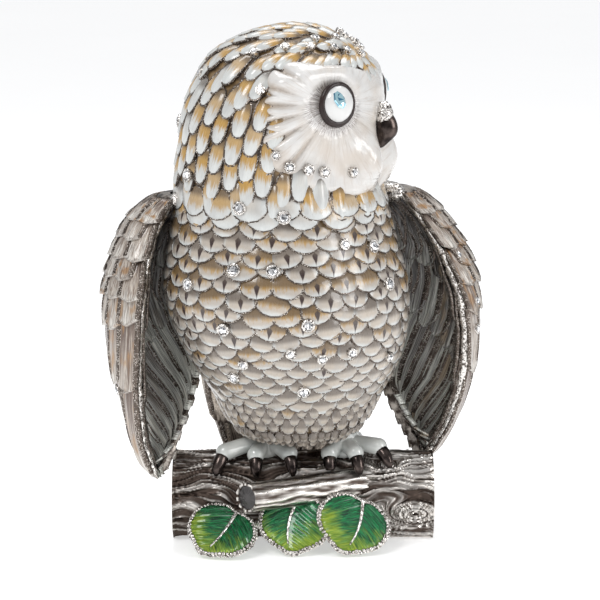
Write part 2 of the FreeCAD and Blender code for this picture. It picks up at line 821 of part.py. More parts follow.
def wing_section(z, lead, outer, trail):
    """A crescent: the outside arc, the inside arc and the two ends that join them."""
    a, b, c = (Vector(p[0], p[1], z) for p in (lead, outer, trail))
    outside = Part.Arc(a, b, c).toShape()
    centre, radius = outside.Curve.Center, outside.Curve.Radius
    wall = min(size("wing_thickness"), 0.55 * radius)
    scale = 1 - wall / radius
    inner = [centre + (p - centre) * scale for p in (a, b, c)]
    edges = [
        outside,
        Part.LineSegment(c, inner[2]).toShape(),
        Part.Arc(inner[2], inner[1], inner[0]).toShape(),
        Part.LineSegment(inner[0], a).toShape(),
    ]
    return Part.Wire(edges)


def make_wings():
    turned = Placement(Vector(size("wing_centre_x"), 0, 0), Rotation(UP, size("body_yaw")))
    for label, rows, place in (
        ("wing_left", LEFT_WING_SECTIONS, turned),
        ("wing_right", RIGHT_WING_SECTIONS, Placement()),
    ):
        shape = Part.makeLoft([wing_section(*row) for row in rows], True, False)
        shape.Placement = place
        wings[label] = largest_after(shape, [body_form.Shape, head_form.Shape, log_form.Shape])
        keep(shape_object(label, wings[label]), label)


def make_tail():
    rings = []
    for z, half, front, back in TAIL_SECTIONS:
        middle, depth = (front + back) / 2, (back - front) / 2
        oval = Part.Ellipse(Vector(0, 0, 0), half, depth).toShape()
        oval.Placement = Placement(Vector(0, middle, z), Rotation())
        rings.append(Part.Wire(oval))
    tail = Part.makeLoft(rings, True, False)
    place = Placement(Vector(-1.0, 0, 0), Rotation(UP, size("body_yaw")))
    tail.Placement = place
    tail = largest_after(tail, [body_form.Shape, log_form.Shape, *wings.values()])
    return keep(shape_object("tail", tail), "tail")


wings = {}
make_wings()
make_tail()


# ---------------------------------------------------------------- feet and talons

# Each toe: how far its end is from the foot's centre in X, its end's Y and Z, and the talon's reach
# beyond that in X, Y and Z.
TOES = {
    "right": (
        ((-13.0, -8.0, 28.8), (-2.4, -3.6, -5.8)),
        ((-3.0, -9.0, 28.2), (0.2, -3.4, -5.6)),
        ((7.6, -8.6, 28.6), (1.2, -3.4, -5.6)),
        ((-4.0, 9.0, 28.4), (-0.8, 3.6, -4.8)),
    ),
    "left": (
        ((-4.4, -8.8, 28.6), (0.2, -3.4, -5.6)),
        ((3.9, -9.2, 29.0), (1.2, -3.2, -5.6)),
        ((11.4, -7.0, 30.4), (3.2, -3.6, -5.2)),
        ((4.2, 9.2, 28.5), (0.6, 3.7, -4.9)),
    ),
}


def tapered(start, end, radius_a, radius_b):
    """A rounded rod between two points."""
    along = end - start
    rod = Part.makeCone(radius_a, radius_b, along.Length, start, along)
    return rod.fuse(Part.makeSphere(radius_b, end)).fuse(Part.makeSphere(radius_a, start))


def talon(start, reach):
    """A curved claw: circles that shrink along an arc from the toe to its point."""
    rings = []
    r = size("talon_radius")
    for t, scale in ((0.0, 1.0), (0.35, 0.95), (0.7, 0.66), (1.0, 0.14)):
        bow = math.sin(math.pi * t) * 0.9
        centre = start + reach * t + Vector(reach.x, reach.y, 0) * (0.22 * bow)
        tangent = Vector(reach.x * (1.4 - t), reach.y * (1.4 - t), reach.z * (0.6 + t))
        rings.append(Part.Wire(Part.makeCircle(r * scale, centre, tangent)))
    return Part.makeLoft(rings, True)


def make_foot(side, x, log):
    """A leg and four toes as one casting, and the talons that are set on the toes' ends."""
    y, top = size("foot_y"), size("leg_top")
    foot = Part.makeCylinder(size("leg_radius"), top - TOE_FLOOR, Vector(x, y, TOE_FLOOR))
    talons = []
    for (dx, ty, tz), reach in TOES[side]:
        root = Vector(x + dx * 0.22, y + ty * 0.2, top - 3.2)
        end = Vector(x + dx, ty, tz)
        foot = foot.fuse(tapered(root, end, size("toe_root_radius"), size("toe_end_radius")))
        step = Vector(*reach)
        talons.append(talon(end + step * 0.12, step))
    above = Part.makeBox(200, 200, 20, Vector(-100, -100, top))
    screw = Part.makeCylinder(size("owl_screw_radius") + 0.02, 12, Vector(x, y, TOE_FLOOR))
    foot = largest_after(foot, [log, body_form.Shape, above, screw])
    keep(shape_object(f"foot_{side}", foot), f"foot_{side}")
    group(f"talons_{side}", [largest_after(c, [foot, log, branch.Shape]) for c in talons])


TOE_FLOOR = 25.0
for side, x in zip(("right", "left"), foot_centres()):
    make_foot(side, x, log_form.Shape)


# ---------------------------------------------------------------- stones and their cups

# Azimuth in degrees and height of each stone on the body: the front ones, then the back.
BODY_LARGE = (
    (-26, 93), (-7, 93), (-50, 87), (52, 98), (58, 86), (-31, 75), (10, 77), (-31, 59), (10, 55),
    (150, 88), (198, 92), (172, 70), (210, 66),
)
BODY_SMALL = (
    (32, 100), (2, 68), (18, 66), (34, 67), (61, 63), (-23, 64), (165, 97), (185, 80), (225, 78),
)
HEAD_LARGE = ((-22, 112), (1, 109.5), (-58, 120), (-96, 134), (-140, 116), (190, 132))
HEAD_SMALL = (
    (-22, 157), (-12, 147), (24, 158.5), (45, 158), (56, 157), (34, 160.5), (71, 155.5),
    (84, 157), (96, 158), (110, 158.5), (122, 157), (3, 158.5), (60, 160.5), (82, 160.5),
    (104, 161), (157, 147), (-70, 150), (-120, 146),
)
# Turn from the face's direction and height of the stones along the lower edge of the face.
FACE_MEDIUM = ((68, 125), (58, 124), (49, 123), (30, 122))
FACE_SMALL = ((75, 128.5), (17, 121.8))
LEFT_WING_MEDIUM = ((97, 90), (98, 75), (97, 66), (116, 70), (124, 88))
RIGHT_WING_MEDIUM = ((-78, 98), (-74, 83), (-76, 51), (-100, 70), (-110, 88))


# A stone's depth below its girdle, its table and its point, as shares of its radius.
STONE_DEPTH = 0.9
STONE_TABLE = 0.58
STONE_POINT = 0.05


def pavilion(radius, girdle):
    """The cone below a stone's girdle, which its cup is bored to."""
    depth = STONE_DEPTH * radius
    return Part.makeCone(STONE_POINT * radius, radius, depth, Vector(0, 0, girdle - depth))


def stone(radius):
    """A stone with its girdle at Z 0: a table and crown above, a shallow cone below."""
    rise = size("crown_rise") * radius / size("medium_stone_radius")
    crown = Part.makeCone(radius, radius * STONE_TABLE, rise)
    return crown.fuse(pavilion(radius, 0)).removeSplitter()


def cup(radius, height):
    """An open cup whose rim is level with the stone's girdle."""
    outer = Part.makeCylinder(radius + size("cup_wall"), height)
    return outer.cut(pavilion(radius, height))


def set_stones(label, form, spots, height, axis_x=-5.0, tools=()):
    """Stones at (azimuth, height, radius) on a form, and their cups, as two sub-parts."""
    stones, cups = [], []
    for azimuth, z, radius in spots:
        point, normal = on_surface(form, azimuth, z, axis_x)
        tall = max(height, (STONE_DEPTH + 0.05) * radius)
        place = Placement(point + normal * 0.01, Rotation(UP, normal))
        gem = stone(radius)
        gem.translate(Vector(0, 0, tall))
        for shape, found in ((gem, stones), (cup(radius, tall), cups)):
            shape.Placement = place.multiply(shape.Placement)
            found.append(largest_after(shape, tools))
    group(f"{label}_stones", stones)
    group(f"{label}_cups", cups)


def make_stones():
    large, medium, small = (size(f"{n}_stone_radius") for n in ("large", "medium", "small"))
    height, face_height = size("cup_height"), size("face_cup_height")
    spots = [(a, z, large) for a, z in BODY_LARGE] + [(a, z, medium) for a, z in BODY_SMALL]
    set_stones("body", body_form.Shape, spots, height)
    spots = [(a, z, large) for a, z in HEAD_LARGE] + [(a, z, small) for a, z in HEAD_SMALL]
    set_stones("head", head_form.Shape, spots, height, -6.5, (face_disc.Shape,))
    yaw = size("head_yaw")
    spots = [(yaw + s * a, z, medium) for s in (-1, 1) for a, z in FACE_MEDIUM]
    spots += [(yaw + s * a, z, small) for s in (-1, 1) for a, z in FACE_SMALL]
    set_stones("face", face_form.Shape, spots, face_height, -6.5)
    for label, layout in (("wing_left", LEFT_WING_MEDIUM), ("wing_right", RIGHT_WING_MEDIUM)):
        spots = [(a, z, medium) for a, z in layout]
        set_stones(label, wings[label], spots, face_height)


make_stones()
doc.recompute()


# ---------------------------------------------------------------- checks and files


def check_and_write():
    for obj in doc.Objects:
        if "Invalid" in obj.State or "Error" in obj.State:
            raise RuntimeError(f"{obj.Name} failed: {obj.State}")
    os.makedirs("parts", exist_ok=True)
    for obj in parts:
        shape = obj.Shape
        if shape.isNull() or not shape.isValid() or not shape.Solids:
            raise RuntimeError(f"{obj.Label} has no valid solid")
        shape.exportStep(f"parts/{obj.Label}.step")
        print(f"{obj.Label}: {len(shape.Solids)} solids, {shape.Volume:.0f} mm3")


check_and_write()
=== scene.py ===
import math
import random

import bmesh
import bpy
from mathutils import Matrix, Vector, noise
from mathutils.bvhtree import BVHTree


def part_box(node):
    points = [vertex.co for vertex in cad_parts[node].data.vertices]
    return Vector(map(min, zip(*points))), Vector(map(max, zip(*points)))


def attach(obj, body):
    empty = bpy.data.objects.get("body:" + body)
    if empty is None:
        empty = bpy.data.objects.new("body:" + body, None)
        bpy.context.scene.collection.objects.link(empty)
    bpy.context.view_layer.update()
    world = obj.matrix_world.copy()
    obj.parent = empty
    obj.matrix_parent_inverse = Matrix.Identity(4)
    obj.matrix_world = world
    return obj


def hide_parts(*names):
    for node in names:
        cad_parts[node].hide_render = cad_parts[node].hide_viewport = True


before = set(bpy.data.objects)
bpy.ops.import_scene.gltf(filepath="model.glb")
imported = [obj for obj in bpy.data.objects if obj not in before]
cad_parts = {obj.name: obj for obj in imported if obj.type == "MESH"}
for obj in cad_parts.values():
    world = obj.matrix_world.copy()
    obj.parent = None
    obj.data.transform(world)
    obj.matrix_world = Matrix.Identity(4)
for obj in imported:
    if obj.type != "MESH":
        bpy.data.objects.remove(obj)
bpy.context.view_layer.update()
bpy.ops.object.select_all(action="DESELECT")


# ================================================================ the log
# A hollow pewter casting with deep, swirling bark, silvered and then darkened with a brown patina
# that stays in the furrows. Its underside is filed flat and closed with a screwed plate.

MM = 0.001
MERGE_WITHIN = 0.01 * MM
BARK_DEPTH = 1.7 * MM
BARK_AROUND = 264
BARK_ALONG = 300
BROAD_SHARE, RIDGE_SHARE, FINE_SHARE = 0.30, 0.42, 0.36
# Where the bark fades to an even seam under the log, in radians from its top.
SEAM_FROM, SEAM_TO = 2.6, 3.1
# The bark is shallower this near to the ends.
END_FADE = 1.2 * MM
SAWN_SHARE = 0.87
# Each knot: millimetres along, radians round from the top and its reach in millimetres.
KNOTS = ((9, 1.15, 2.2), (36, 1.75, 2.8), (27, 0.55, 1.8), (-8, 2.4, 2.5))
SILVER = (0.86, 0.83, 0.79, 1)
PATINA = (0.088, 0.066, 0.055, 1)
log_low, log_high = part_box("log_shell")
log_length = log_high.x - log_low.x
log_radius = (log_high.y - log_low.y) / 2
log_axis = Vector((0, 0, log_high.z - log_radius))


def only(piece):
    """Makes a piece the one that operators act on."""
    bpy.ops.object.select_all(action="DESELECT")
    piece.select_set(True)
    bpy.context.view_layer.objects.active = piece
    return piece


def named(name):
    """Names the piece that an operator has just added, and its mesh."""
    piece = bpy.context.object
    piece.name = piece.data.name = name
    return piece


def modified(piece, kind, **settings):
    """Adds a modifier to a piece and applies it."""
    only(piece)
    modifier = piece.modifiers.new(kind.lower(), kind)
    for setting, value in settings.items():
        setattr(modifier, setting, value)
    bpy.ops.object.modifier_apply(modifier=modifier.name)


def in_place(piece):
    """Puts a piece's turn and place into its mesh."""
    only(piece)
    bpy.ops.object.transform_apply(location=True, rotation=True, scale=True)


def edit_all(piece):
    """Opens a piece for editing with the whole of it picked."""
    only(piece)
    bpy.ops.object.mode_set(mode="EDIT")
    bpy.ops.mesh.select_all(action="SELECT")


def outward(piece):
    """Merges a piece's doubled points and turns its faces outwards."""
    edit_all(piece)
    bpy.ops.mesh.remove_doubles(threshold=MERGE_WITHIN)
    bpy.ops.mesh.normals_make_consistent(inside=False)
    bpy.ops.object.mode_set(mode="OBJECT")


def smooth(piece, degrees=180):
    """Shades a piece smooth, but for edges sharper than this."""
    only(piece)
    bpy.ops.object.shade_smooth()
    if degrees < 180:
        bpy.ops.object.shade_smooth_by_angle(angle=math.radians(degrees))


def write_points(mesh, name, values, kind="FLOAT"):
    """Stores one value for each point of a mesh, for its material to read."""
    layer = mesh.attributes.get(name) or mesh.attributes.new(name, kind, "POINT")
    layer.data.foreach_set("value" if kind == "FLOAT" else "color", values)


def ramp(edge_low, edge_high, value):
    """0 below one edge, 1 above the other, and a smooth rise between."""
    t = min(max((value - edge_low) / (edge_high - edge_low), 0.0), 1.0)
    return t * t * (3 - 2 * t)


def crest(x, across, seed):
    """1 along thin, wandering crests and less between them."""
    return 1 - min(abs(noise.noise(Vector((x, across, seed)))) * 2.4, 1.0)


def bark_height(x, arc):
    """Height of the bark, 0 in a furrow and 1 on a crest, at millimetres along and around."""
    across = arc + 5.0 * noise.noise(Vector((x * 0.045, arc * 0.06, 3.1)))
    across += 1.8 * noise.noise(Vector((x * 0.14, arc * 0.16, 7.7)))
    for knot_x, knot_turn, reach in KNOTS:
        dx, da = (x - knot_x) * 0.55, arc - knot_turn * log_radius / MM
        away = math.hypot(dx, da)
        pull = math.exp(-((away / (reach * 1.4)) ** 2))
        across = across * (1 - pull) + away * 1.7 * pull
    broad = crest(x * 0.020, across * 0.19, 1.3) ** 1.5
    ridges = crest(x * 0.036, across * 0.60, 5.9)
    fine = crest(x * 0.07, across * 1.65, 8.3)
    height = BROAD_SHARE * broad + RIDGE_SHARE * ridges + FINE_SHARE * fine
    return min(max(height - 0.05, 0.0), 1.0)


def drawn_out(piece, length, steps, **settings):
    """Draws an open circle out along Z into a tube, in so many steps."""
    modified(piece, "SCREW", axis="Z", angle=0, screw_offset=length, steps=steps, render_steps=steps,
             **settings)


def tube(name, radius, start, end, around, along):
    """A round tube of square faces from one point to another."""
    bpy.ops.mesh.primitive_circle_add(vertices=around, radius=radius, fill_type="NOTHING")
    made = named(name)
    span = end - start
    drawn_out(made, span.length, along, use_merge_vertices=False)
    made.matrix_world = Matrix.Translation(start) @ span.to_track_quat("Z", "Y").to_matrix().to_4x4()
    in_place(made)
    return made


def fill_ends(piece):
    """Closes a tube's two open ends with one face each."""
    only(piece)
    bpy.ops.object.mode_set(mode="EDIT")
    bpy.ops.mesh.select_all(action="DESELECT")
    bpy.ops.mesh.select_mode(type="EDGE")
    bpy.ops.mesh.select_non_manifold()
    bpy.ops.mesh.edge_face_add()
    bpy.ops.mesh.select_mode(type="FACE")
    bpy.ops.object.mode_set(mode="OBJECT")


log_ends = [Vector((x, 0, log_axis.z)) for x in (log_low.x, log_high.x)]
log = tube("log_bark", log_radius, log_ends[0], log_ends[1], BARK_AROUND, BARK_ALONG)
bark = []
for point in log.data.vertices:
    spoke = Vector((0, point.co.y, point.co.z - log_axis.z))
    turn = math.atan2(-spoke.y, spoke.z)
    rim = 1 - ramp(log_length / 2 - END_FADE, log_length / 2, abs(point.co.x))
    height = bark_height(point.co.x / MM, turn * log_radius / MM)
    seam = ramp(SEAM_FROM, SEAM_TO, abs(turn))
    height = height * (1 - seam) + 0.5 * seam
    sunk = BARK_DEPTH * (1 - height) * (0.4 + 0.6 * rim)
    point.co -= spoke.normalized() * sunk
    point.co.z = max(point.co.z, 0)
    bark.append(height)
write_points(log.data, "relief", bark)


def ring_the_ends(piece, ends, steps):
    """Fills the open ends, each given by its middle and its way in, and steps them inwards."""
    before = len(piece.data.polygons)
    fill_ends(piece)
    caps = [face.index for face in piece.data.polygons if face.index >= before]
    for cap in caps:
        bpy.ops.object.mode_set(mode="EDIT")
        bpy.ops.mesh.select_all(action="DESELECT")
        bpy.ops.object.mode_set(mode="OBJECT")
        face = piece.data.polygons[cap]
        face.select = True
        middle, inward = min(ends, key=lambda end: (end[0] - face.center).length)
        bpy.ops.object.mode_set(mode="EDIT")
        for share, depth in steps:
            bpy.ops.mesh.extrude_region_move()
            bpy.ops.transform.resize(value=(share, share, share), center_override=middle)
            bpy.ops.transform.translate(value=inward * depth)
        bpy.ops.mesh.poke()
        bpy.ops.object.mode_set(mode="OBJECT")


# Each step: how far it shrinks and how deep it goes. A rim, a sunk face, then twelve growth rings.
LOG_END_STEPS = [(0.93, 0), (0.985, 1.0 * MM)] + [(0.90, (0.3 if k % 2 else -0.3) * MM) for k in range(12)]
ring_the_ends(log, [(end, Vector((-end.x, 0, 0)).normalized()) for end in log_ends], LOG_END_STEPS)
outward(log)
smooth(log, 55)
# The sawn ends carry growth rings in place of bark.
end_relief = []
for point, relief in zip(log.data.vertices, log.data.attributes["relief"].data):
    spoke = math.hypot(point.co.y, point.co.z - log_axis.z) / log_radius
    ring = 0.55 + 0.30 * math.sin(spoke * 48 + 2 * noise.noise(point.co / MM * 0.12))
    end_relief.append(relief.value if spoke > SAWN_SHARE else ring)
write_points(log.data, "relief", end_relief)


def material(name, build):
    """A new node material: build fills its tree and returns what feeds the shader's sockets."""
    made = bpy.data.materials.new(name)
    made.use_nodes = True
    tree = made.node_tree
    shader = tree.nodes["Principled BSDF"]
    for socket, value in build(tree).items():
        if hasattr(value, "links"):
            tree.links.new(value, shader.inputs[socket])
        else:
            shader.inputs[socket].default_value = value
    return made


def node(tree, kind, values=(), **settings):
    """Adds a node, sets it and feeds its inputs, given by number or name."""
    made = tree.nodes.new(kind)
    for setting, value in settings.items():
        setattr(made, setting, value)
    for key, value in dict(values).items():
        if hasattr(value, "links"):
            tree.links.new(value, made.inputs[key])
        else:
            made.inputs[key].default_value = value
    return made


def blend(tree, factor, first, second, mode="MIX"):
    """A colour between two others."""
    made = node(tree, "ShaderNodeMix", {0: factor, 6: first, 7: second}, data_type="RGBA", blend_type=mode)
    return made.outputs[2]


def maths(tree, operation, first, second=0.0, third=0.0):
    """The result of a sum on up to three values."""
    made = node(tree, "ShaderNodeMath", {0: first, 1: second, 2: third}, operation=operation)
    return made.outputs[0]


def fade(tree, value, low, high):
    """0 to 1 as a value goes from low to high, smoothly. low may be above high."""
    made = node(tree, "ShaderNodeMapRange", {0: value, 1: low, 2: high, 3: 0.0, 4: 1.0},
                interpolation_type="SMOOTHSTEP")
    return made.outputs[0]


def stored(tree, name, output="Fac"):
    """What write_points stored on a mesh."""
    return node(tree, "ShaderNodeAttribute", attribute_name=name).outputs[output]


def place_on_piece(tree):
    """Where a point is on its piece, in metres."""
    return node(tree, "ShaderNodeTexCoord").outputs["Object"]


def grain(tree, where, scale, detail=4.0, rough=0.6, stretch=(1, 1, 1)):
    """Noise from 0 to 1, stretched along the axes."""
    spread = node(tree, "ShaderNodeMapping", {0: where, 3: stretch})
    made = node(tree, "ShaderNodeTexNoise", {"Vector": spread.outputs[0], "Scale": scale, "Detail": detail,
                                             "Roughness": rough})
    return made.outputs["Fac"]


def bumped(tree, height, strength, distance):
    """A surface's direction, roughened by a height."""
    made = node(tree, "ShaderNodeBump", {"Height": height, "Strength": strength, "Distance": distance})
    return made.outputs[0]


def group_of(name, inputs, outputs, build):
    """A shader node group with named sockets, which several materials place."""
    made = bpy.data.node_groups.new(name, "ShaderNodeTree")
    for socket, kind, value in inputs:
        new = made.interface.new_socket(socket, in_out="INPUT", socket_type=f"NodeSocket{kind}")
        if value is not None:
            new.default_value = value
    for socket, kind in outputs:
        made.interface.new_socket(socket, in_out="OUTPUT", socket_type=f"NodeSocket{kind}")
    entry = made.nodes.new("NodeGroupInput")
    leave = made.nodes.new("NodeGroupOutput")
    for socket, value in build(made, entry.outputs).items():
        made.links.new(value, leave.inputs[socket])
    return made


def placed(tree, group, **values):
    """Places a node group, feeds its named sockets and returns what it gives."""
    made = tree.nodes.new("ShaderNodeGroup")
    made.node_tree = group
    for socket, value in values.items():
        target = made.inputs[socket]
        if hasattr(value, "links"):
            tree.links.new(value, target)
        else:
            target.default_value = value
    return made.outputs


def aged(tree, given):
    """Silver rubbed bright on what stands up and left brown in what lies low."""
    where = place_on_piece(tree)
    blotch = grain(tree, where, 160, 5, 0.65)
    speck = grain(tree, where, 900, 3, 0.6)
    uneven = maths(tree, "MULTIPLY", maths(tree, "SUBTRACT", blotch, 0.5), 0.55)
    low = maths(tree, "ADD", given["Relief"], uneven)
    shine = fade(tree, low, given["Dark below"], given["Bright above"])
    mellow = blend(tree, blotch, given["Silver"], (0.52, 0.45, 0.40, 1))
    dull = maths(tree, "MULTIPLY_ADD", speck, 0.14, 0.42)
    return {
        "Color": blend(tree, shine, given["Patina"], blend(tree, 0.35, given["Silver"], mellow)),
        "Roughness": maths(tree, "MULTIPLY_ADD", shine, -0.22, dull),
        "Height": maths(tree, "MULTIPLY", maths(tree, "ADD", speck, blotch), 0.5),
    }


old_silver = group_of(
    "old_silver",
    [("Relief", "Float", 0.5), ("Dark below", "Float", 0.3), ("Bright above", "Float", 0.75),
     ("Silver", "Color", SILVER), ("Patina", "Color", PATINA)],
    [("Color", "Color"), ("Roughness", "Float"), ("Height", "Float")],
    aged,
)


def bark_silver(tree):
    """Old silver over the bark's relief, brighter towards the log's right end."""
    # The bark's silver is made brighter towards +X, the log's right end.
    brighter_to_right = fade(tree, node(tree, "ShaderNodeSeparateXYZ", {0: place_on_piece(tree)}).outputs[0], 0.0, 0.05)
    relief = maths(tree, "MULTIPLY_ADD", brighter_to_right, 0.20, stored(tree, "relief"))
    old = placed(tree, old_silver, Relief=relief, **{"Dark below": 0.40, "Bright above": 0.98})
    along = grain(tree, place_on_piece(tree), 420, 4, 0.6, (0.22, 1, 1))
    height = maths(tree, "MULTIPLY_ADD", along, 0.7, old["Height"])
    return {"Base Color": old["Color"], "Metallic": 1.0, "Roughness": old["Roughness"],
            "Normal": bumped(tree, height, 0.5, 0.0003)}


log.data.materials.append(material("bark_silver", bark_silver))
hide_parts("log_shell")
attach(log, "root")


def plate_metal(tree):
    """Plain metal with brush strokes along it."""
    where = place_on_piece(tree)
    brush = grain(tree, where, 500, 3, 0.6, (0.05, 1, 1))
    tone = blend(tree, brush, (0.42, 0.40, 0.38, 1), (0.62, 0.60, 0.57, 1))
    return {"Base Color": tone, "Metallic": 1.0, "Roughness": maths(tree, "MULTIPLY_ADD", brush, 0.2, 0.3),
            "Normal": bumped(tree, brush, 0.25, 0.0001)}


def repaint(names, finish):
    """Gives CAD pieces that stay as they are a better material."""
    for name in names:
        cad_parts[name].data.materials.clear()
        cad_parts[name].data.materials.append(finish)


repaint(("log_base_plate", "base_plate_screws", "owl_screw_washers", "owl_screws", "neck_collar"),
        material("plate_metal", plate_metal))


# ================================================================ the branch
# A stub of side branch soldered across the log's front, in the same pewter but polished brighter,
# with fine grain along it and a sawn end whose heartwood is dark.

BRANCH_ROOT = Vector((27.0, -4.0, 18.6)) * MM
BRANCH_CUT = Vector((-17.8, -24.0, 18.4)) * MM
BRANCH_CUT_FACES = Vector((-0.72, -0.69, 0.05))
BRANCH_RADIUS = 4.75 * MM
BRANCH_SWELL = 0.12
BRANCH_SWELL_LENGTH = 48
BRANCH_BARK_DEPTH = 0.55 * MM
BRANCH_SPARE = 6 * MM

run = (BRANCH_CUT - BRANCH_ROOT).normalized()
branch = tube("branch_bark", BRANCH_RADIUS, BRANCH_ROOT, BRANCH_CUT + run * BRANCH_SPARE, 120, 190)
across_branch = run.cross(Vector((0, 0, 1))).normalized()
above_branch = across_branch.cross(run)
bark = []
for point in branch.data.vertices:
    reach = (point.co - BRANCH_ROOT).dot(run)
    spoke = point.co - BRANCH_ROOT - run * reach
    turn = math.atan2(spoke.dot(across_branch), spoke.dot(above_branch))
    x, arc = reach / MM, turn * BRANCH_RADIUS / MM
    weave = 1.4 * noise.noise(Vector((x * 0.1, math.cos(turn) * 1.5, math.sin(turn) * 1.5)))
    wave = math.sin((turn + 0.12 * weave) * 11 + weave)
    fine = noise.noise(Vector((x * 0.3, math.cos(turn) * 7, math.sin(turn) * 7)))
    height = min(max(0.55 + 0.25 * wave + 0.3 * fine, 0.0), 1.0)
    swell = BRANCH_SWELL * (1 - x / BRANCH_SWELL_LENGTH) * BRANCH_RADIUS
    point.co += spoke.normalized() * (swell - BRANCH_BARK_DEPTH * (1 - height))
    bark.append(height)
write_points(branch.data, "relief", bark)
edit_all(branch)
bpy.ops.mesh.bisect(plane_co=BRANCH_CUT, plane_no=BRANCH_CUT_FACES, clear_outer=True)
bpy.ops.object.mode_set(mode="OBJECT")
ring_the_ends(branch, [(BRANCH_CUT, -BRANCH_CUT_FACES.normalized()), (BRANCH_ROOT, run)],
              [(0.86, 0), (0.95, 0.5 * MM), (0.8, 0.12 * MM), (0.7, -0.12 * MM)])
outward(branch)
smooth(branch, 50)
# The heartwood is what lies sunk in the sawn end.
heartwood = []
for point in branch.data.vertices:
    from_cut = point.co - BRANCH_CUT
    near_cut = abs(from_cut.dot(BRANCH_CUT_FACES.normalized())) < 1.2 * MM
    sunk = from_cut.dot(BRANCH_CUT_FACES) < -0.15 * MM
    heartwood.append(1.0 if near_cut and sunk and from_cut.length < BRANCH_RADIUS * 0.98 else 0.0)
write_points(branch.data, "heartwood", heartwood)


def branch_silver(tree):
    """The log's old silver, brighter, with a dark heart in the sawn end."""
    relief = stored(tree, "relief")
    old = placed(tree, old_silver, Relief=relief, **{"Dark below": 0.22, "Bright above": 0.85})
    heart = stored(tree, "heartwood")
    along = grain(tree, place_on_piece(tree), 500, 4, 0.6, (0.3, 1, 1))
    return {"Base Color": blend(tree, heart, old["Color"], (0.10, 0.095, 0.095, 1)), "Metallic": 1.0,
            "Roughness": old["Roughness"],
            "Normal": bumped(tree, maths(tree, "ADD", along, old["Height"]), 0.4, 0.0002)}


branch.data.materials.append(material("branch_silver", branch_silver))
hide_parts("branch")
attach(branch, "root")


# ================================================================ the leaves
# Three broad leaves of thin pewter, soldered to the log's foot on a rough stalk. Each is sunk inside a
# rim of silver grains, cut with fine rays from its curved vein and filled with clear green enamel.

LEAF_LENGTH = 18.5 * MM
LEAF_HALF_WIDTH = 11.6 * MM
LEAF_THICKNESS = 1.5 * MM
# One side of a leaf from its stem to its tip, as shares of its half width and length.
LEAF_STATIONS = (
    (0.0, 0.0), (0.4, -0.02), (0.86, 0.16), (1.0, 0.43), (0.84, 0.70), (0.42, 0.89), (0.0, 1.0),
)
# Name, stem end, swing, slope, roll and the bend of the vein, in millimetres and degrees.
LEAVES = (
    ("leaf_left", (-20.8, -17.2, 11.0), -37, 42, 8, -1.2),
    ("leaf_middle", (-1.5, -16.0, 15.4), -6, 55, 4, 2.2),
    ("leaf_right", (18.8, -17.0, 15.2), -22, 55, -6, -2.2),
)
LEAF_FOLDS = 46
GRAIN_COUNT = 62
GRAIN_RADIUS = 0.62 * MM
# The two rings of grains on a leaf's rim: share of the outline, and height in leaf thicknesses.
GRAIN_RINGS = ((1.0, 0.0), (0.955, 0.5))
VEIN_RADIUS = 0.55 * MM
VEIN_STEPS = 28
TWIG_LUMPS = 46


def leaf_station(number):
    """A station of the leaf's outline. Those before the stem and past the tip are on its other side."""
    span = len(LEAF_STATIONS) - 1
    if 0 <= number <= span:
        return Vector(LEAF_STATIONS[number])
    return Vector(LEAF_STATIONS[-number if number < 0 else 2 * span - number]) * Vector((-1, 1))


def leaf_edge(turn):
    """The leaf's outline at an angle from its tip, as shares of its half width and length."""
    span = len(LEAF_STATIONS) - 1
    along = span * (1 - abs(turn if turn <= math.pi else 2 * math.pi - turn) / math.pi)
    k = min(int(along), span - 1)
    t = along - k
    before, first, second, after = (leaf_station(number) for number in (k - 1, k, k + 1, k + 2))
    spot = 0.5 * (2 * first + (second - before) * t +
                  (2 * before - 5 * first + 4 * second - after) * t * t +
                  (3 * first - before - 3 * second + after) * t ** 3)
    return (spot.x if 0 <= turn <= math.pi else -spot.x), spot.y


def leaf_place(base, swing, slope, roll):
    """Where a leaf drawn flat, with its stem at the origin, lies on the log."""
    forward = Matrix.Rotation(math.radians(180 + slope), 4, "X") @ Matrix.Rotation(math.pi, 4, "Y")
    swung = forward @ Matrix.Rotation(math.radians(swing), 4, "Z")
    return Matrix.Translation(Vector(base) * MM) @ swung @ Matrix.Rotation(math.radians(roll), 4, "Y")


def vein_line(share, bend):
    """A point of the leaf's midrib, in the leaf's own plane: it curves as a whole to one side."""
    return Vector((bend * MM * math.sin(share * math.pi * 0.9), share * LEAF_LENGTH, 0))


def on_disc(s, t):
    """A point of a square of half width 1, moved so that the square becomes a disc."""
    return s * math.sqrt(1 - t * t / 2), t * math.sqrt(1 - s * s / 2)


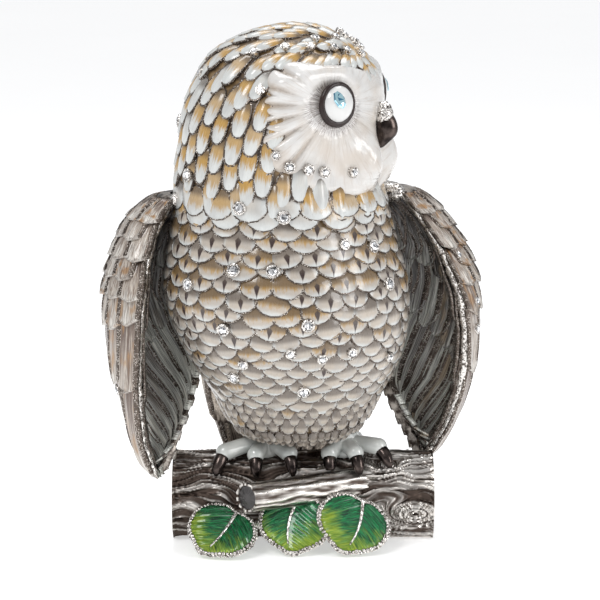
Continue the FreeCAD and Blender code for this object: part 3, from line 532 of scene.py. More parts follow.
def leaf_blade(name, bend):
    """The blade as a sheet of square faces, domed between the vein and the rim, then thickened."""
    bpy.ops.mesh.primitive_grid_add(x_subdivisions=72, y_subdivisions=72, size=2)
    blade = named(name)
    uv = blade.data.uv_layers[0].data
    rays, shares = [], []
    for point in blade.data.vertices:
        x, y = on_disc(point.co.x, point.co.y)
        out = min(math.hypot(x, y), 1.0)
        edge_x, edge_y = leaf_edge(math.atan2(x, y))
        centre = Vector((0, 0.5 * LEAF_LENGTH, 0))
        edge = Vector((edge_x * LEAF_HALF_WIDTH, edge_y * LEAF_LENGTH, 0))
        spot = centre.lerp(edge, out)
        share = spot.y / LEAF_LENGTH
        off = (spot.x - vein_line(min(max(share, 0), 1), bend).x) / LEAF_HALF_WIDTH
        # Each ray leaves the vein at its own place and runs slanting to the edge.
        ray = share - 0.42 * abs(off)
        dome = 1.5 * min(abs(off), 0.62) * (1 - out ** 5) - 0.5 * out ** 8 + 0.3
        fold = 0.16 * math.sin(ray * LEAF_FOLDS) * ramp(0.05, 0.3, abs(off)) * ramp(1.0, 0.9, out)
        point.co = spot + Vector((0, 0, (dome + fold) * MM))
        rays.append((ray + (3.0 if off > 0 else 0.0), abs(off)))
        shares.append(share)
    for loop in blade.data.loops:
        uv[loop.index].uv = rays[loop.vertex_index]
    write_points(blade.data, "share", shares)
    modified(blade, "SOLIDIFY", thickness=LEAF_THICKNESS * 0.6, offset=-1, use_even_offset=False)
    return blade


def leaf_enamel(tree):
    """Clear green enamel in strokes along the rays, deep at the stem and yellow towards the tip, with
    painted whitish highlights in strokes over the half nearest the stem.
    """
    rays = node(tree, "ShaderNodeUVMap").outputs[0]
    share = stored(tree, "share")
    off = node(tree, "ShaderNodeSeparateXYZ", {0: rays}).outputs[1]
    strokes = grain(tree, rays, 1.0, 4, 0.6, (30, 1.5, 1))
    fine = grain(tree, rays, 1.0, 3, 0.6, (75, 3.5, 1))
    broad = grain(tree, rays, 1.0, 2, 0.5, (4, 1.6, 1))
    along = maths(tree, "MULTIPLY_ADD", maths(tree, "SUBTRACT", strokes, 0.5), 0.75, share)
    along = maths(tree, "MULTIPLY_ADD", maths(tree, "SUBTRACT", broad, 0.5), 0.9, along)
    along = maths(tree, "MULTIPLY_ADD", off, 0.22, along)
    yellow = fade(tree, along, 0.50, 0.92)
    deep = blend(tree, fade(tree, fine, 0.40, 0.60), (0.002, 0.040, 0.018, 1), (0.006, 0.26, 0.075, 1))
    light = blend(tree, fade(tree, fine, 0.38, 0.62), (0.13, 0.30, 0.012, 1), (0.45, 0.56, 0.05, 1))
    green = blend(tree, yellow, deep, light)
    # Painted highlight: whitish strokes over the half nearest the stem stand in for the light's sheen on
    # the enamel.
    painted_highlight = maths(tree, "MULTIPLY", fade(tree, strokes, 0.56, 0.70), fade(tree, share, 0.55, 0.05))
    green_and_painted_highlight = blend(tree, maths(tree, "MULTIPLY", painted_highlight, 0.6), green, (0.50, 0.62, 0.56, 1))
    return {"Base Color": green_and_painted_highlight, "Roughness": 0.26, "Metallic": 0.45,
            "Coat Weight": 0.7, "Coat Roughness": 0.10,
            "Normal": bumped(tree, maths(tree, "MULTIPLY_ADD", fine, 0.7, strokes), 1.0, 0.0005)}


def bright_silver(tree):
    """Hammered silver, dark only in its pits."""
    where = place_on_piece(tree)
    hammered = grain(tree, where, 650, 3, 0.6)
    pits = fade(tree, grain(tree, where, 1400, 2, 0.5), 0.34, 0.52)
    tone = blend(tree, hammered, (0.60, 0.56, 0.52, 1), (0.92, 0.90, 0.87, 1))
    return {"Base Color": blend(tree, pits, (0.10, 0.08, 0.07, 1), tone), "Metallic": 1.0,
            "Roughness": maths(tree, "MULTIPLY_ADD", hammered, 0.2, 0.14),
            "Normal": bumped(tree, maths(tree, "ADD", hammered, pits), 0.5, 0.0002)}


leaf_green = material("leaf_enamel", leaf_enamel)
grain_silver = material("grain_silver", bright_silver)

bpy.ops.mesh.primitive_uv_sphere_add(segments=8, ring_count=5, radius=GRAIN_RADIUS)
silver_grain = named("silver_grain")
smooth(silver_grain)


def join(pieces, name):
    """Joins pieces into one, at the origin."""
    bpy.ops.object.select_all(action="DESELECT")
    for piece in pieces:
        piece.select_set(True)
    bpy.context.view_layer.objects.active = pieces[0]
    bpy.ops.object.join()
    return named(name)


def own_copy(pattern):
    """A copy of a piece with a mesh of its own."""
    copy = pattern.copy()
    copy.data = pattern.data.copy()
    bpy.context.collection.objects.link(copy)
    return copy


chance = random.Random(11)
for name, base, swing, slope, roll, bend in LEAVES:
    place = leaf_place(base, swing, slope, roll)
    blade = leaf_blade(f"{name}_blade", bend)
    blade.matrix_world = place @ Matrix.Translation((0, 0, LEAF_THICKNESS * 0.5))
    in_place(blade)
    smooth(blade, 60)
    blade.data.materials.append(leaf_green)
    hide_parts(name, f"{name}_enamel")
    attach(blade, "root")

    grains = []
    for ring, (inset, tall) in enumerate(GRAIN_RINGS):
        count = GRAIN_COUNT - 4 * ring
        for k in range(count):
            turn = 2 * math.pi * (k + 0.5 * ring) / count
            edge_x, edge_y = leaf_edge(turn)
            swell = chance.uniform(0.75, 1.25)
            spot = Vector((edge_x * LEAF_HALF_WIDTH * inset, (0.5 + (edge_y - 0.5) * inset) * LEAF_LENGTH,
                           LEAF_THICKNESS * (0.4 + tall) + chance.uniform(-0.15, 0.15) * MM))
            bead = own_copy(silver_grain)
            bead.matrix_world = place @ Matrix.Translation(spot) @ Matrix.Diagonal((swell, swell, 0.85, 1))
            in_place(bead)
            grains.append(bead)
    rim = join(grains, f"{name}_grains")
    for point in rim.data.vertices:
        point.co.z = max(point.co.z, 0.05 * MM)
    rim.data.materials.append(grain_silver)
    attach(rim, "root")

    bpy.ops.mesh.primitive_circle_add(vertices=10, radius=VEIN_RADIUS, fill_type="NOTHING")
    vein = named(f"{name}_vein")
    drawn_out(vein, LEAF_LENGTH * 0.8, VEIN_STEPS)
    for point in vein.data.vertices:
        share = min(max(point.co.z / LEAF_LENGTH, 0), 1)
        line = vein_line(share + 0.02, bend)
        thin = 1.25 - 0.95 * share
        lift = LEAF_THICKNESS * 0.2 + (0.5 * (1 - share) + 0.62) * MM
        point.co = Vector((line.x + point.co.x * thin, line.y, lift + point.co.y * thin))
    fill_ends(vein)
    vein.matrix_world = place
    in_place(vein)
    outward(vein)
    smooth(vein, 70)
    vein.data.materials.append(grain_silver)
    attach(vein, "root")

# The stalk is a row of rough, scaly lumps along the log's foot.
twig_low, twig_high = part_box("leaf_twig")
lumps = []
for k in range(TWIG_LUMPS):
    share = k / (TWIG_LUMPS - 1)
    x = twig_low.x + (twig_high.x - twig_low.x) * share
    sag = (2 * share - 1) ** 2
    spot = Vector((x, -17.6 * MM + 1.2 * MM * sag, (5.6 + 4.2 * sag) * MM))
    lump = own_copy(silver_grain)
    lump.matrix_world = Matrix.Translation(spot) @ Matrix.Rotation(chance.uniform(-1, 1), 4, "X") @ \
        Matrix.Diagonal((chance.uniform(1.6, 2.4), chance.uniform(2.2, 3.4), chance.uniform(1.8, 2.6), 1))
    in_place(lump)
    lumps.append(lump)
twig = join(lumps, "leaf_stalk")
twig.data.materials.append(grain_silver)
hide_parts("leaf_twig")
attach(twig, "root")
bpy.data.objects.remove(silver_grain)


# ================================================================ the body's feathers
# The body is cast in two halves, chased with rows of wide, shallow feathers. Each feather is a
# silver rim round a cell of enamel: white at the edge, beige inside, some with a dark drop on them.

BODY_AXIS = Vector((-5.0, 0.0, 0.0)) * MM
WHITE_ENAMEL = (0.61, 0.63, 0.62, 1)
CREAM_ENAMEL = (0.47, 0.405, 0.335, 1)
OCHRE_ENAMEL = (0.40, 0.22, 0.045, 1)
BROWN_ENAMEL = (0.035, 0.018, 0.016, 1)
GOLD_ENAMEL = (0.50, 0.31, 0.09, 1)
GREY_ENAMEL = (0.34, 0.34, 0.34, 1)
# The colour of the painted shadow at each feather's base, where the row above covers it.
PAINTED_SHADOW_TONE = (0.085, 0.062, 0.046, 1)
FEATHER_EDGE = 0.55 * MM
FEATHER_SINK = 0.35 * MM
PROBE_FROM = 6 * MM
PROBE_REACH = 14 * MM
FAR = 90 * MM
# Heights above the body's foot at which the breast's feathers give way to the hem's, and those end.
HEM_TOP = 13.5 * MM
HEM_FOOT = 5.0 * MM
# The ruff's two rows: height above the body's foot in millimetres, and number of strands.
RUFF_ROWS = ((2.9, 46), (1.1, 40))


def skin_of(*names):
    """A search tree over the surface of some castings."""
    points, faces = [], []
    for name in names:
        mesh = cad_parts[name].data
        first = len(points)
        points += [point.co.copy() for point in mesh.vertices]
        faces += [[first + k for k in face.vertices] for face in mesh.polygons]
    return BVHTree.FromPolygons(points, faces)


def coated(piece, *finishes):
    """Gives a piece its materials, in the order its faces count them."""
    for place, finish in enumerate(finishes):
        if place < len(piece.data.materials):
            piece.data.materials[place] = finish
        else:
            piece.data.materials.append(finish)


def write_plume(feather, plume):
    """Stores on a whole feather its shares of ochre and of the dark drop, and a number of its own."""
    write_points(feather.data, "plume", list(plume) * len(feather.data.vertices), "FLOAT_COLOR")


def feather_pattern(name, across, along, rim, dome, square=1.0, points=14):
    """One cast feather, flat on the ground with its tip at -Y: a rim, then a sunk cell with a crown."""
    bpy.ops.mesh.primitive_circle_add(vertices=points, radius=0.5, fill_type="NGON")
    feather = named(name)
    for point in feather.data.vertices:
        for axis in (0, 1):
            point.co[axis] = math.copysign(0.5 * abs(point.co[axis] / 0.5) ** square, point.co[axis])
    edit_all(feather)
    bpy.ops.transform.resize(value=(across, along, 1))
    bpy.ops.mesh.extrude_region_move(TRANSFORM_OT_translate={"value": (0, 0, FEATHER_EDGE)})
    bpy.ops.mesh.inset(thickness=rim, depth=0)
    bpy.ops.mesh.inset(thickness=0.10 * MM, depth=-0.12 * MM)
    bpy.ops.mesh.inset(thickness=0.15 * across, depth=dome * 0.75)
    bpy.ops.mesh.poke(offset=dome * 0.25)
    bpy.ops.object.mode_set(mode="OBJECT")
    uv = feather.data.uv_layers[0].data
    for loop in feather.data.loops:
        spot = feather.data.vertices[loop.vertex_index].co
        uv[loop.index].uv = (spot.x / across + 0.5, 0.5 - spot.y / along)
    wall = (across / 2 - rim) / (across / 2)
    for face in feather.data.polygons:
        middle = face.center
        reach = math.hypot(middle.x / (across / 2), middle.y / (along / 2))
        face.material_index = 0 if reach < wall - 0.02 else 1
    smooth(feather, 40)
    write_plume(feather, (0.0, 0.0, 0.0, 0.0))
    return feather


def lay_feather(pattern, skin, spot, out, down, size, lift, plume):
    """Lays a copy of a feather on a casting, its base under the row above and its tip proud."""
    feather = own_copy(pattern)
    side = down.cross(out).normalized()
    tip = min(point.co.y for point in pattern.data.vertices)
    for point in feather.data.vertices:
        x, y, high = point.co
        share = 0.5 + 0.5 * y / tip
        probe = spot + side * (x * size) - down * (y * size) + out * PROBE_FROM
        ground = skin.ray_cast(probe, -out, PROBE_REACH)[0]
        if ground is None:
            ground = probe - out * PROBE_FROM
        point.co = ground + out * (high + lift * share - FEATHER_SINK * (1 - share))
    write_plume(feather, plume)
    return feather


def own_place(tree, where, number):
    """A place moved far off by a feather's own number, so that no two have the same strokes."""
    shift = node(tree, "ShaderNodeCombineXYZ", {2: maths(tree, "MULTIPLY", number, 40.0)})
    return node(tree, "ShaderNodeVectorMath", {0: where, 1: shift.outputs[0]}, operation="ADD").outputs[0]


def brushed(tree, given):
    """Enamel brushed along a feather: white at its tip, cream within and ochre where it starts, with
    painted shadow towards its base under the row above.
    """
    where = given["Where"]
    parts_of = node(tree, "ShaderNodeSeparateXYZ", {0: where}).outputs
    plume = node(tree, "ShaderNodeSeparateColor", {0: given["Plume"]}).outputs
    moved = own_place(tree, where, plume[2])
    streak = grain(tree, moved, 1.0, 4, 0.65, (11, 2.2, 1))
    soft = grain(tree, moved, 1.0, 3, 0.5, (2.5, 2.0, 1))
    uneven = maths(tree, "SUBTRACT", streak, 0.5)
    middle = maths(tree, "ABSOLUTE", maths(tree, "SUBTRACT", parts_of[0], 0.5))
    # How far a point is from the tip's edge, 0 at the edge.
    tip = maths(tree, "SUBTRACT", 1.0, parts_of[1])
    inward = maths(tree, "MINIMUM", tip, maths(tree, "MULTIPLY", maths(tree, "SUBTRACT", 0.5, middle), 1.3))
    inward = maths(tree, "MULTIPLY_ADD", uneven, 0.20, inward)
    cream = maths(tree, "MULTIPLY", fade(tree, inward, given["White to"], given["Cream from"]),
                  given["Cream share"])
    base = blend(tree, cream, given["White"], given["Cream"])
    base = blend(tree, maths(tree, "MULTIPLY", fade(tree, soft, 0.35, 0.75), 0.4), base, GREY_ENAMEL)
    ochre_line = maths(tree, "MULTIPLY_ADD", uneven, 0.7, parts_of[1])
    ochre = fade(tree, ochre_line, given["Ochre to"], given["Ochre from"])
    ochre = maths(tree, "MULTIPLY", ochre, plume[0])
    base = blend(tree, ochre, base, blend(tree, streak, given["Ochre"], GOLD_ENAMEL))
    # The dark drop: wide above, drawn to a point towards the tip.
    width = maths(tree, "MULTIPLY_ADD", fade(tree, parts_of[1], 0.95, 0.50), 0.085, -0.006)
    width = maths(tree, "MULTIPLY", width, fade(tree, parts_of[1], 0.44, 0.56))
    beside = maths(tree, "SUBTRACT", maths(tree, "MULTIPLY_ADD", uneven, 0.05, middle), width)
    drop = maths(tree, "MULTIPLY", fade(tree, beside, 0.02, -0.01), plume[1])
    # Painted shadow: the base of each feather, under the row above, is darkened towards a dark brown.
    shadow = fade(tree, parts_of[1], given["Shadow to"], maths(tree, "SUBTRACT", given["Shadow to"], 0.22))
    painted = blend(tree, drop, base, BROWN_ENAMEL)
    return {"Color": blend(tree, maths(tree, "MULTIPLY", shadow, 0.75), painted, PAINTED_SHADOW_TONE),
            "Streak": streak, "Soft": soft}


feather_brush = group_of(
    "feather_brush",
    [("Where", "Vector", None), ("Plume", "Color", None), ("White", "Color", WHITE_ENAMEL),
     ("Cream", "Color", CREAM_ENAMEL), ("Ochre", "Color", OCHRE_ENAMEL), ("White to", "Float", 0.1),
     ("Cream from", "Float", 0.3), ("Cream share", "Float", 1.0), ("Ochre to", "Float", 0.75),
     ("Ochre from", "Float", 0.5), ("Shadow to", "Float", 0.5)],
    [("Color", "Color"), ("Streak", "Float"), ("Soft", "Float")],
    brushed,
)


def feather_enamel(**brush):
    """An enamel for feathers, with its own widths of white, cream, ochre and shadow."""
    sockets = {name.replace("_", " ").capitalize(): value for name, value in brush.items()}

    def build(tree):
        where = node(tree, "ShaderNodeUVMap").outputs[0]
        made = placed(tree, feather_brush, Where=where, Plume=stored(tree, "plume", "Color"), **sockets)
        return {"Base Color": made["Color"],
                "Roughness": maths(tree, "MULTIPLY_ADD", made["Streak"], 0.16, 0.2),
                "Coat Weight": 0.6, "Coat Roughness": 0.1,
                "Normal": bumped(tree, made["Streak"], 0.22, 0.00025)}
    return build


def rim_silver(tree):
    """Fine beads of silver with brown between them."""
    where = place_on_piece(tree)
    beads = node(tree, "ShaderNodeTexVoronoi", {"Vector": where, "Scale": 2100.0}).outputs["Distance"]
    bead = fade(tree, beads, 0.55, 0.15)
    blotch = grain(tree, where, 420, 4, 0.6)
    bright = blend(tree, fade(tree, blotch, 0.38, 0.54), (0.075, 0.058, 0.048, 1), (0.86, 0.80, 0.73, 1))
    return {"Base Color": blend(tree, bead, (0.12, 0.095, 0.080, 1), bright), "Metallic": 0.85,
            "Roughness": maths(tree, "MULTIPLY_ADD", blotch, 0.25, 0.22),
            "Normal": bumped(tree, bead, 0.8, 0.0002)}


feather_rim = material("feather_rim", rim_silver)
breast_enamel = material("breast_enamel", feather_enamel(white_to=0.07, cream_from=0.27, cream_share=0.95,
                                                        shadow_to=0.68))


def gap_enamel_and_shade(tree):
    """What shows between the feathers: dark amber enamel, kept dark as painted shade in the gaps."""
    where = place_on_piece(tree)
    smear = grain(tree, where, 180, 4, 0.6)
    # The amber's own colour is darkened here as painted shade for the gaps between the feathers.
    tone = blend(tree, fade(tree, smear, 0.35, 0.70), (0.045, 0.030, 0.022, 1), (0.26, 0.16, 0.06, 1))
    return {"Base Color": tone, "Roughness": 0.35, "Metallic": 0.2, "Coat Weight": 0.4,
            "Normal": bumped(tree, smear, 0.3, 0.0003)}


repaint(("body_front_shell", "body_back_shell", "head_shell"), material("gap_enamel_and_shade", gap_enamel_and_shade))

body_skin = skin_of("body_front_shell", "body_back_shell")
body_low, body_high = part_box("body_front_shell")


def downhill(out):
    """The steepest way down a surface that faces this way."""
    return (Vector((0, 0, -1)) + out * out.z).normalized()


def on_casting(skin, axis, azimuth, height):
    """Where a level ray meets a casting from outside, and the way out of it there."""
    way = Vector((math.sin(azimuth), -math.cos(azimuth), 0))
    start = Vector((axis.x, axis.y, height)) + way * FAR
    spot, out = skin.ray_cast(start, -way)[:2]
    if spot is None:
        return None, None
    return spot, out if out.dot(way) > 0 else -out


breast_pattern = feather_pattern("breast_pattern", 10.8 * MM, 8.6 * MM, 0.42 * MM, 0.55 * MM)
hem_pattern = feather_pattern("hem_pattern", 4.5 * MM, 6.8 * MM, 0.34 * MM, 0.85 * MM, 0.85, 12)
for pattern in (breast_pattern, hem_pattern):
    coated(pattern, breast_enamel, feather_rim)
breast_feathers = []
height = body_high.z - 1.0 * MM
row = 0
while height > body_low.z + HEM_FOOT:
    hem = height < body_low.z + HEM_TOP
    spot = on_casting(body_skin, BODY_AXIS, 0.0, height)[0]
    girth = 2 * math.pi * (Vector((spot.x, spot.y, 0)) - BODY_AXIS).length
    upper = ramp(58 * MM, 88 * MM, height)
    width = (4.3 if hem else 7.4 + 1.7 * upper) * MM
    count = round(girth / width)
    for k in range(count):
        azimuth = 2 * math.pi * (k + 0.5 * (row % 2)) / count + chance.uniform(-0.02, 0.02)
        level = height + (0 if hem else chance.uniform(-0.9, 0.9) * MM)
        spot, out = on_casting(body_skin, BODY_AXIS, azimuth, level)
        down = Matrix.Rotation(chance.uniform(-0.20, 0.20), 3, out) @ downhill(out)
        plume = (
            chance.uniform(0.7, 1.0) if chance.random() < 0.05 + 0.36 * upper else 0.0,
            1.0 if not hem and chance.random() < 0.02 + 0.62 * upper else 0.0,
            chance.random(),
            1.0,
        )
        size = chance.uniform(0.88, 1.14) * (1.0 if hem else 0.86 + 0.14 * upper)
        breast_feathers.append(lay_feather(hem_pattern if hem else breast_pattern, body_skin, spot, out,
                                           down, size, (0.6 if hem else 0.85) * MM, plume))
    row += 1
    height -= (2.9 if hem else 2.95 + 1.5 * upper) * MM
# Below the hem a ruff of short, rough strands hides where the feet go in.
for row, (rise, count) in enumerate(RUFF_ROWS):
    for k in range(count):
        azimuth = 2 * math.pi * (k + 0.5 * row) / count + chance.uniform(-0.03, 0.03)
        spot, out = on_casting(body_skin, BODY_AXIS, azimuth, body_low.z + rise * MM)
        down = Matrix.Rotation(chance.uniform(-0.5, 0.5), 3, out) @ downhill(out)
        plume = (0.0, 0.0, chance.random(), 1.0)
        size, lift = chance.uniform(0.55, 0.8), chance.uniform(0.6, 1.4) * MM
        breast_feathers.append(lay_feather(hem_pattern, body_skin, spot, out, down, size, lift, plume))
body_feathers = join(breast_feathers, "body_feathers")
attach(body_feathers, "root")


# ================================================================ the head's feathers
# The head is one casting, chased with longer, tongue-shaped feathers that run back from the
# forehead and down the neck. Their white tips lie on amber enamel, kept dark as painted shade in the gaps.

HEAD_AXIS = Vector((-6.3, 0.0, 0.0)) * MM
HEAD_HEART = Vector((-6.0, 0.0, 130.0)) * MM
FACE_YAW = math.radians(72)
FACE_WAY = Vector((math.sin(FACE_YAW), -math.cos(FACE_YAW), 0))
FACE_HALF_TURN = math.radians(84)
FACE_MIDDLE = 135.8 * MM
FACE_HALF_HEIGHT = 20.7 * MM
FACE_HALF_HEIGHT_BELOW = 23.0 * MM
# The face's outline is a superellipse, squarer above its middle than below.
FACE_POWER, FACE_POWER_BELOW = 5.0, 2.8
# Its lobes: degrees up from the level of its middle, half width in degrees, and depth as a share.
FACE_LOBES = ((42, 15, 0.12), (20, 8, 0.085), (6, 7, 0.085), (-9, 8, 0.085), (-26, 10, 0.075))
CROWN_LEAN = math.radians(42)
CROWN_LEAN_ENDS = math.radians(125)
FIRST_RING = math.radians(4)
LAST_RING = math.radians(150)
HEAD_ROW_STEP = 4.9 * MM
HEAD_COLUMN_STEP = 10.7 * MM

head_skin = skin_of("head_shell")
head_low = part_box("head_shell")[0]


def head_point(lean, polar, turn):
    """A point of the head, seen from its heart, on a ring round an axis that leans to the face."""
    pole = (Vector((0, 0, 1)) * math.cos(lean) + FACE_WAY * math.sin(lean)).normalized()
    side = pole.cross(FACE_WAY).normalized()
    ahead = side.cross(pole)
    way = pole * math.cos(polar) + (ahead * math.cos(turn) + side * math.sin(turn)) * math.sin(polar)
    spot, out = head_skin.ray_cast(HEAD_HEART + way * FAR, -way)[:2]
    if spot is None:
        return None, None
    return spot, out if out.dot(way) > 0 else -out


def face_edge(angle):
    """The face's outline as a share of its superellipse: lobes down each side, a dip over the beak."""
    side = abs(math.cos(angle))
    up = math.degrees(math.asin(math.sin(angle)))
    lobes = 0.0
    for middle, half, deep in FACE_LOBES:
        lobes = max(lobes, deep * math.sqrt(max(1 - ((up - middle) / half) ** 2, 0)))
    hem = 0.055 * math.sqrt(abs(math.sin(math.radians(up) * 9))) * ramp(-36, -46, up)
    peak = 0.19 * math.exp(-(((up - 90) / 15) ** 2))
    return 0.905 + lobes * min(side * 1.6, 1) + hem - peak


def face_half(rise):
    """Half the height and the power of the face's outline, above its middle or below it."""
    return (FACE_HALF_HEIGHT, FACE_POWER) if rise > 0 else (FACE_HALF_HEIGHT_BELOW, FACE_POWER_BELOW)


def on_face(spot):
    """How far a point of the head is inside the face's outline: under 1 is inside."""
    way = Vector((spot.x - HEAD_AXIS.x, spot.y, 0)).normalized()
    turn = math.acos(min(max(way.dot(FACE_WAY), -1), 1)) / FACE_HALF_TURN
    half_height, power = face_half(spot.z - FACE_MIDDLE)
    rise = (spot.z - FACE_MIDDLE) / half_height
    return (abs(turn) ** power + abs(rise) ** power) ** (1 / power) / face_edge(math.atan2(rise, turn))


def crown_lean(polar):
    """How far the axis of a ring of feathers leans to the face. The lean is spent at the neck."""
    return CROWN_LEAN * (1 - min(polar / CROWN_LEAN_ENDS, 1))


crown_pattern = feather_pattern("crown_pattern", 5.9 * MM, 12.6 * MM, 0.40 * MM, 0.9 * MM, 0.8)
crown_enamel = material("crown_enamel", feather_enamel(white_to=0.05, cream_from=0.6, cream_share=0.35,
                                                      ochre_to=0.66, ochre_from=0.46, shadow_to=0.40))
coated(crown_pattern, crown_enamel, feather_rim)
head_feathers = []
# The rings are spaced evenly over the back of the head, and closer on the crown.
polar = FIRST_RING
last_spot = head_point(CROWN_LEAN, polar, math.pi)[0]
ring_polars = [polar]
step = math.radians(0.5)
travelled = 0.0
while polar < LAST_RING:
    polar += step
    spot = head_point(crown_lean(polar), polar, math.pi)[0]
    if spot is None:
        break
    travelled += (spot - last_spot).length
    last_spot = spot
    if travelled >= HEAD_ROW_STEP * (0.72 if polar < math.radians(45) else 1.0):
        travelled = 0.0
        ring_polars.append(polar)
for row, polar in enumerate(ring_polars):
    lean = crown_lean(polar)
    sides = [head_point(lean, polar, math.radians(a))[0] for a in range(0, 360, 10)]
    girth = sum((a - b).length for a, b in zip(sides, sides[1:] + sides[:1]) if a and b)
    near_top = 1 - ramp(20, 60, math.degrees(polar))
    count = max(round(girth / (HEAD_COLUMN_STEP * (1 - 0.22 * near_top))), 4)
    for k in range(count):
        turn = 2 * math.pi * (k + 0.5 * (row % 2)) / count + chance.uniform(-0.02, 0.02)
        spot, out = head_point(lean, polar, turn)
        ahead = head_point(lean, polar + math.radians(1.5), turn)[0]
        if spot is None or ahead is None or spot.z < head_low.z + 3.5 * MM or on_face(spot) < 0.965:
            continue
        down = ahead - spot
        down = (down - out * down.dot(out)).normalized()
        down = Matrix.Rotation(chance.uniform(-0.1, 0.1), 3, out) @ down
        plume = (chance.uniform(0.7, 1.0) if chance.random() < 0.9 else 0.0, 0.0, chance.random(), 1.0)
        size = chance.uniform(0.92, 1.08) * (1 - 0.22 * near_top)
        lift = (0.80 - 0.45 * near_top) * MM
        head_feathers.append(lay_feather(crown_pattern, head_skin, spot, out, down, size, lift, plume))
crown = join(head_feathers, "head_feathers")
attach(crown, "root")

# The two lowest rows hide the joint between head and body: wide, pale feathers that overhang it.
# Each row: its height and the width of a feather, in millimetres.
COLLAR_ROWS = ((112.6, 10.2), (109.6, 11.0))
NECK_RADIUS = 32
collar_pattern = feather_pattern("collar_pattern", 11.5 * MM, 9.5 * MM, 0.4 * MM, 0.55 * MM)
collar_enamel = material("collar_enamel", feather_enamel(white_to=0.10, cream_from=0.5, cream_share=0.6,
                                                         shadow_to=0.40))
coated(collar_pattern, collar_enamel, feather_rim)
collar_feathers = []
for row, (level, width) in enumerate(COLLAR_ROWS):
    count = round(2 * math.pi * NECK_RADIUS / width)
    for k in range(count):
        azimuth = 2 * math.pi * (k + 0.5 * row) / count + chance.uniform(-0.02, 0.02)
        spot, out = on_casting(head_skin, HEAD_AXIS, azimuth, level * MM)
        plume = (chance.uniform(0.5, 1.0) if chance.random() < 0.4 else 0.0, 0.0, chance.random(), 1.0)
        collar_feathers.append(lay_feather(collar_pattern, head_skin, spot, out, Vector((0, 0, -1)),
                                           chance.uniform(0.95, 1.08), 1.3 * MM, plume))
collar = join(collar_feathers, "neck_feathers")
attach(collar, "root")


# ================================================================ the wings
# Each wing is a deep, cupped casting soldered behind the shoulder. Long feathers are chased on both
# faces, pale outside and dark brown to grey-green inside, and the front edge is left as rough silver.

WING_WALL = 2.6
WING_YAW = math.radians(15)
# Height, then the front edge, the point furthest out and the back edge, seen from above. The left
# wing is drawn on the owl, which is turned; the right one, more open, is drawn in place.
LEFT_WING = (
    (21.5, (44.6, -4.6), (45.8, -3.2), (43.4, -2.0)),
    (26.0, (48.8, -5.0), (51.2, -2.2), (42.0, 0.6)),
    (34.0, (53.3, -6.5), (56.2, -1.8), (38.6, 4.0)),
    (45.0, (56.6, -8.5), (60.6, -2.4), (34.6, 7.5)),
    (55.0, (57.6, -10.0), (62.3, -2.8), (34.4, 12.0)),
    (66.0, (57.3, -11.3), (63.1, -3.3), (33.8, 16.0)),
    (78.0, (55.0, -11.5), (61.9, -3.3), (32.2, 18.0)),
    (90.0, (50.0, -10.0), (58.0, -2.5), (30.5, 17.0)),
    (100.0, (44.3, -8.0), (52.2, -1.5), (29.5, 15.0)),
    (108.0, (38.5, -6.0), (46.0, -0.8), (29.5, 11.0)),
    (112.0, (35.0, -4.0), (41.0, 0.0), (30.0, 6.5)),
)
RIGHT_WING = (
    (21.5, (-46.5, -13.0), (-47.4, -11.6), (-44.8, -10.4)),
    (26.0, (-49.0, -14.5), (-50.8, -11.7), (-42.3, -8.9)),
    (34.0, (-51.5, -16.5), (-54.0, -11.8), (-39.5, -6.0)),
    (45.0, (-52.3, -18.5), (-56.4, -12.4), (-35.5, -2.5)),
    (55.0, (-52.0, -20.0), (-58.4, -12.8), (-33.5, 2.0)),
    (66.0, (-51.6, -21.0), (-59.5, -13.0), (-32.5, 6.3)),
    (78.0, (-50.5, -20.8), (-59.5, -12.6), (-32.0, 8.5)),
    (90.0, (-49.2, -18.5), (-57.5, -11.0), (-31.5, 8.5)),
    (100.0, (-46.8, -15.5), (-54.0, -9.0), (-30.5, 7.5)),
    (108.0, (-43.0, -12.0), (-48.9, -6.8), (-30.0, 5.0)),
    (112.0, (-39.0, -9.0), (-44.0, -5.0), (-30.5, 1.5)),
)
WING_ROWS = {1: LEFT_WING, -1: RIGHT_WING}
WING_FOOT, WING_TOP = 21.0, 112.0
QUILL_FOOT = 21.5
EDGE_TOP = 84
# Rows of feathers inside the wing, all in millimetres but the last: how many, where the first and
# the last one end, how long they are and how far apart, and how pale they are. The first row,
# without ends, follows the back edge.
WING_INSIDE = (
    (10, None, None, 46.0, 5.2, 0.9),
    (8, 46.0, 70.0, 38.0, 5.6, 0.55),
    (8, 68.0, 88.0, 30.0, 5.6, 0.30),
)
# The same outside it, without how pale, and then the heights of the short feathers' rows above.
WING_OUTSIDE = (
    (8, None, None, 40.0, 6.6),
    (9, 52.0, 56.0, 32.0, 6.4),
    (9, 72.0, 74.0, 22.0, 6.2),
)
SHORT_ROWS = (81.0, 87.0, 93.0, 99.0, 104.5)
SHORT_STEP = 6.6
QUILL_THICKNESS = 0.5 * MM
# A quill's cross-section: shares of its width, and heights in millimetres.
QUILL_COLUMNS = (-0.5, -0.44, -0.36, -0.06, 0.0, 0.06, 0.36, 0.44, 0.5)
QUILL_HEIGHTS = (-0.45, 0.40, 0.12, 0.16, 0.34, 0.16, 0.12, 0.40, -0.45)


def circle_centre(a, b):
    """The centre of the circle through the origin and two points."""
    cross = 2 * (a.x * b.y - a.y * b.x)
    a_squared, b_squared = a.dot(a), b.dot(b)
    return Vector((b.y * a_squared - a.y * b_squared, a.x * b_squared - b.x * a_squared)) / cross


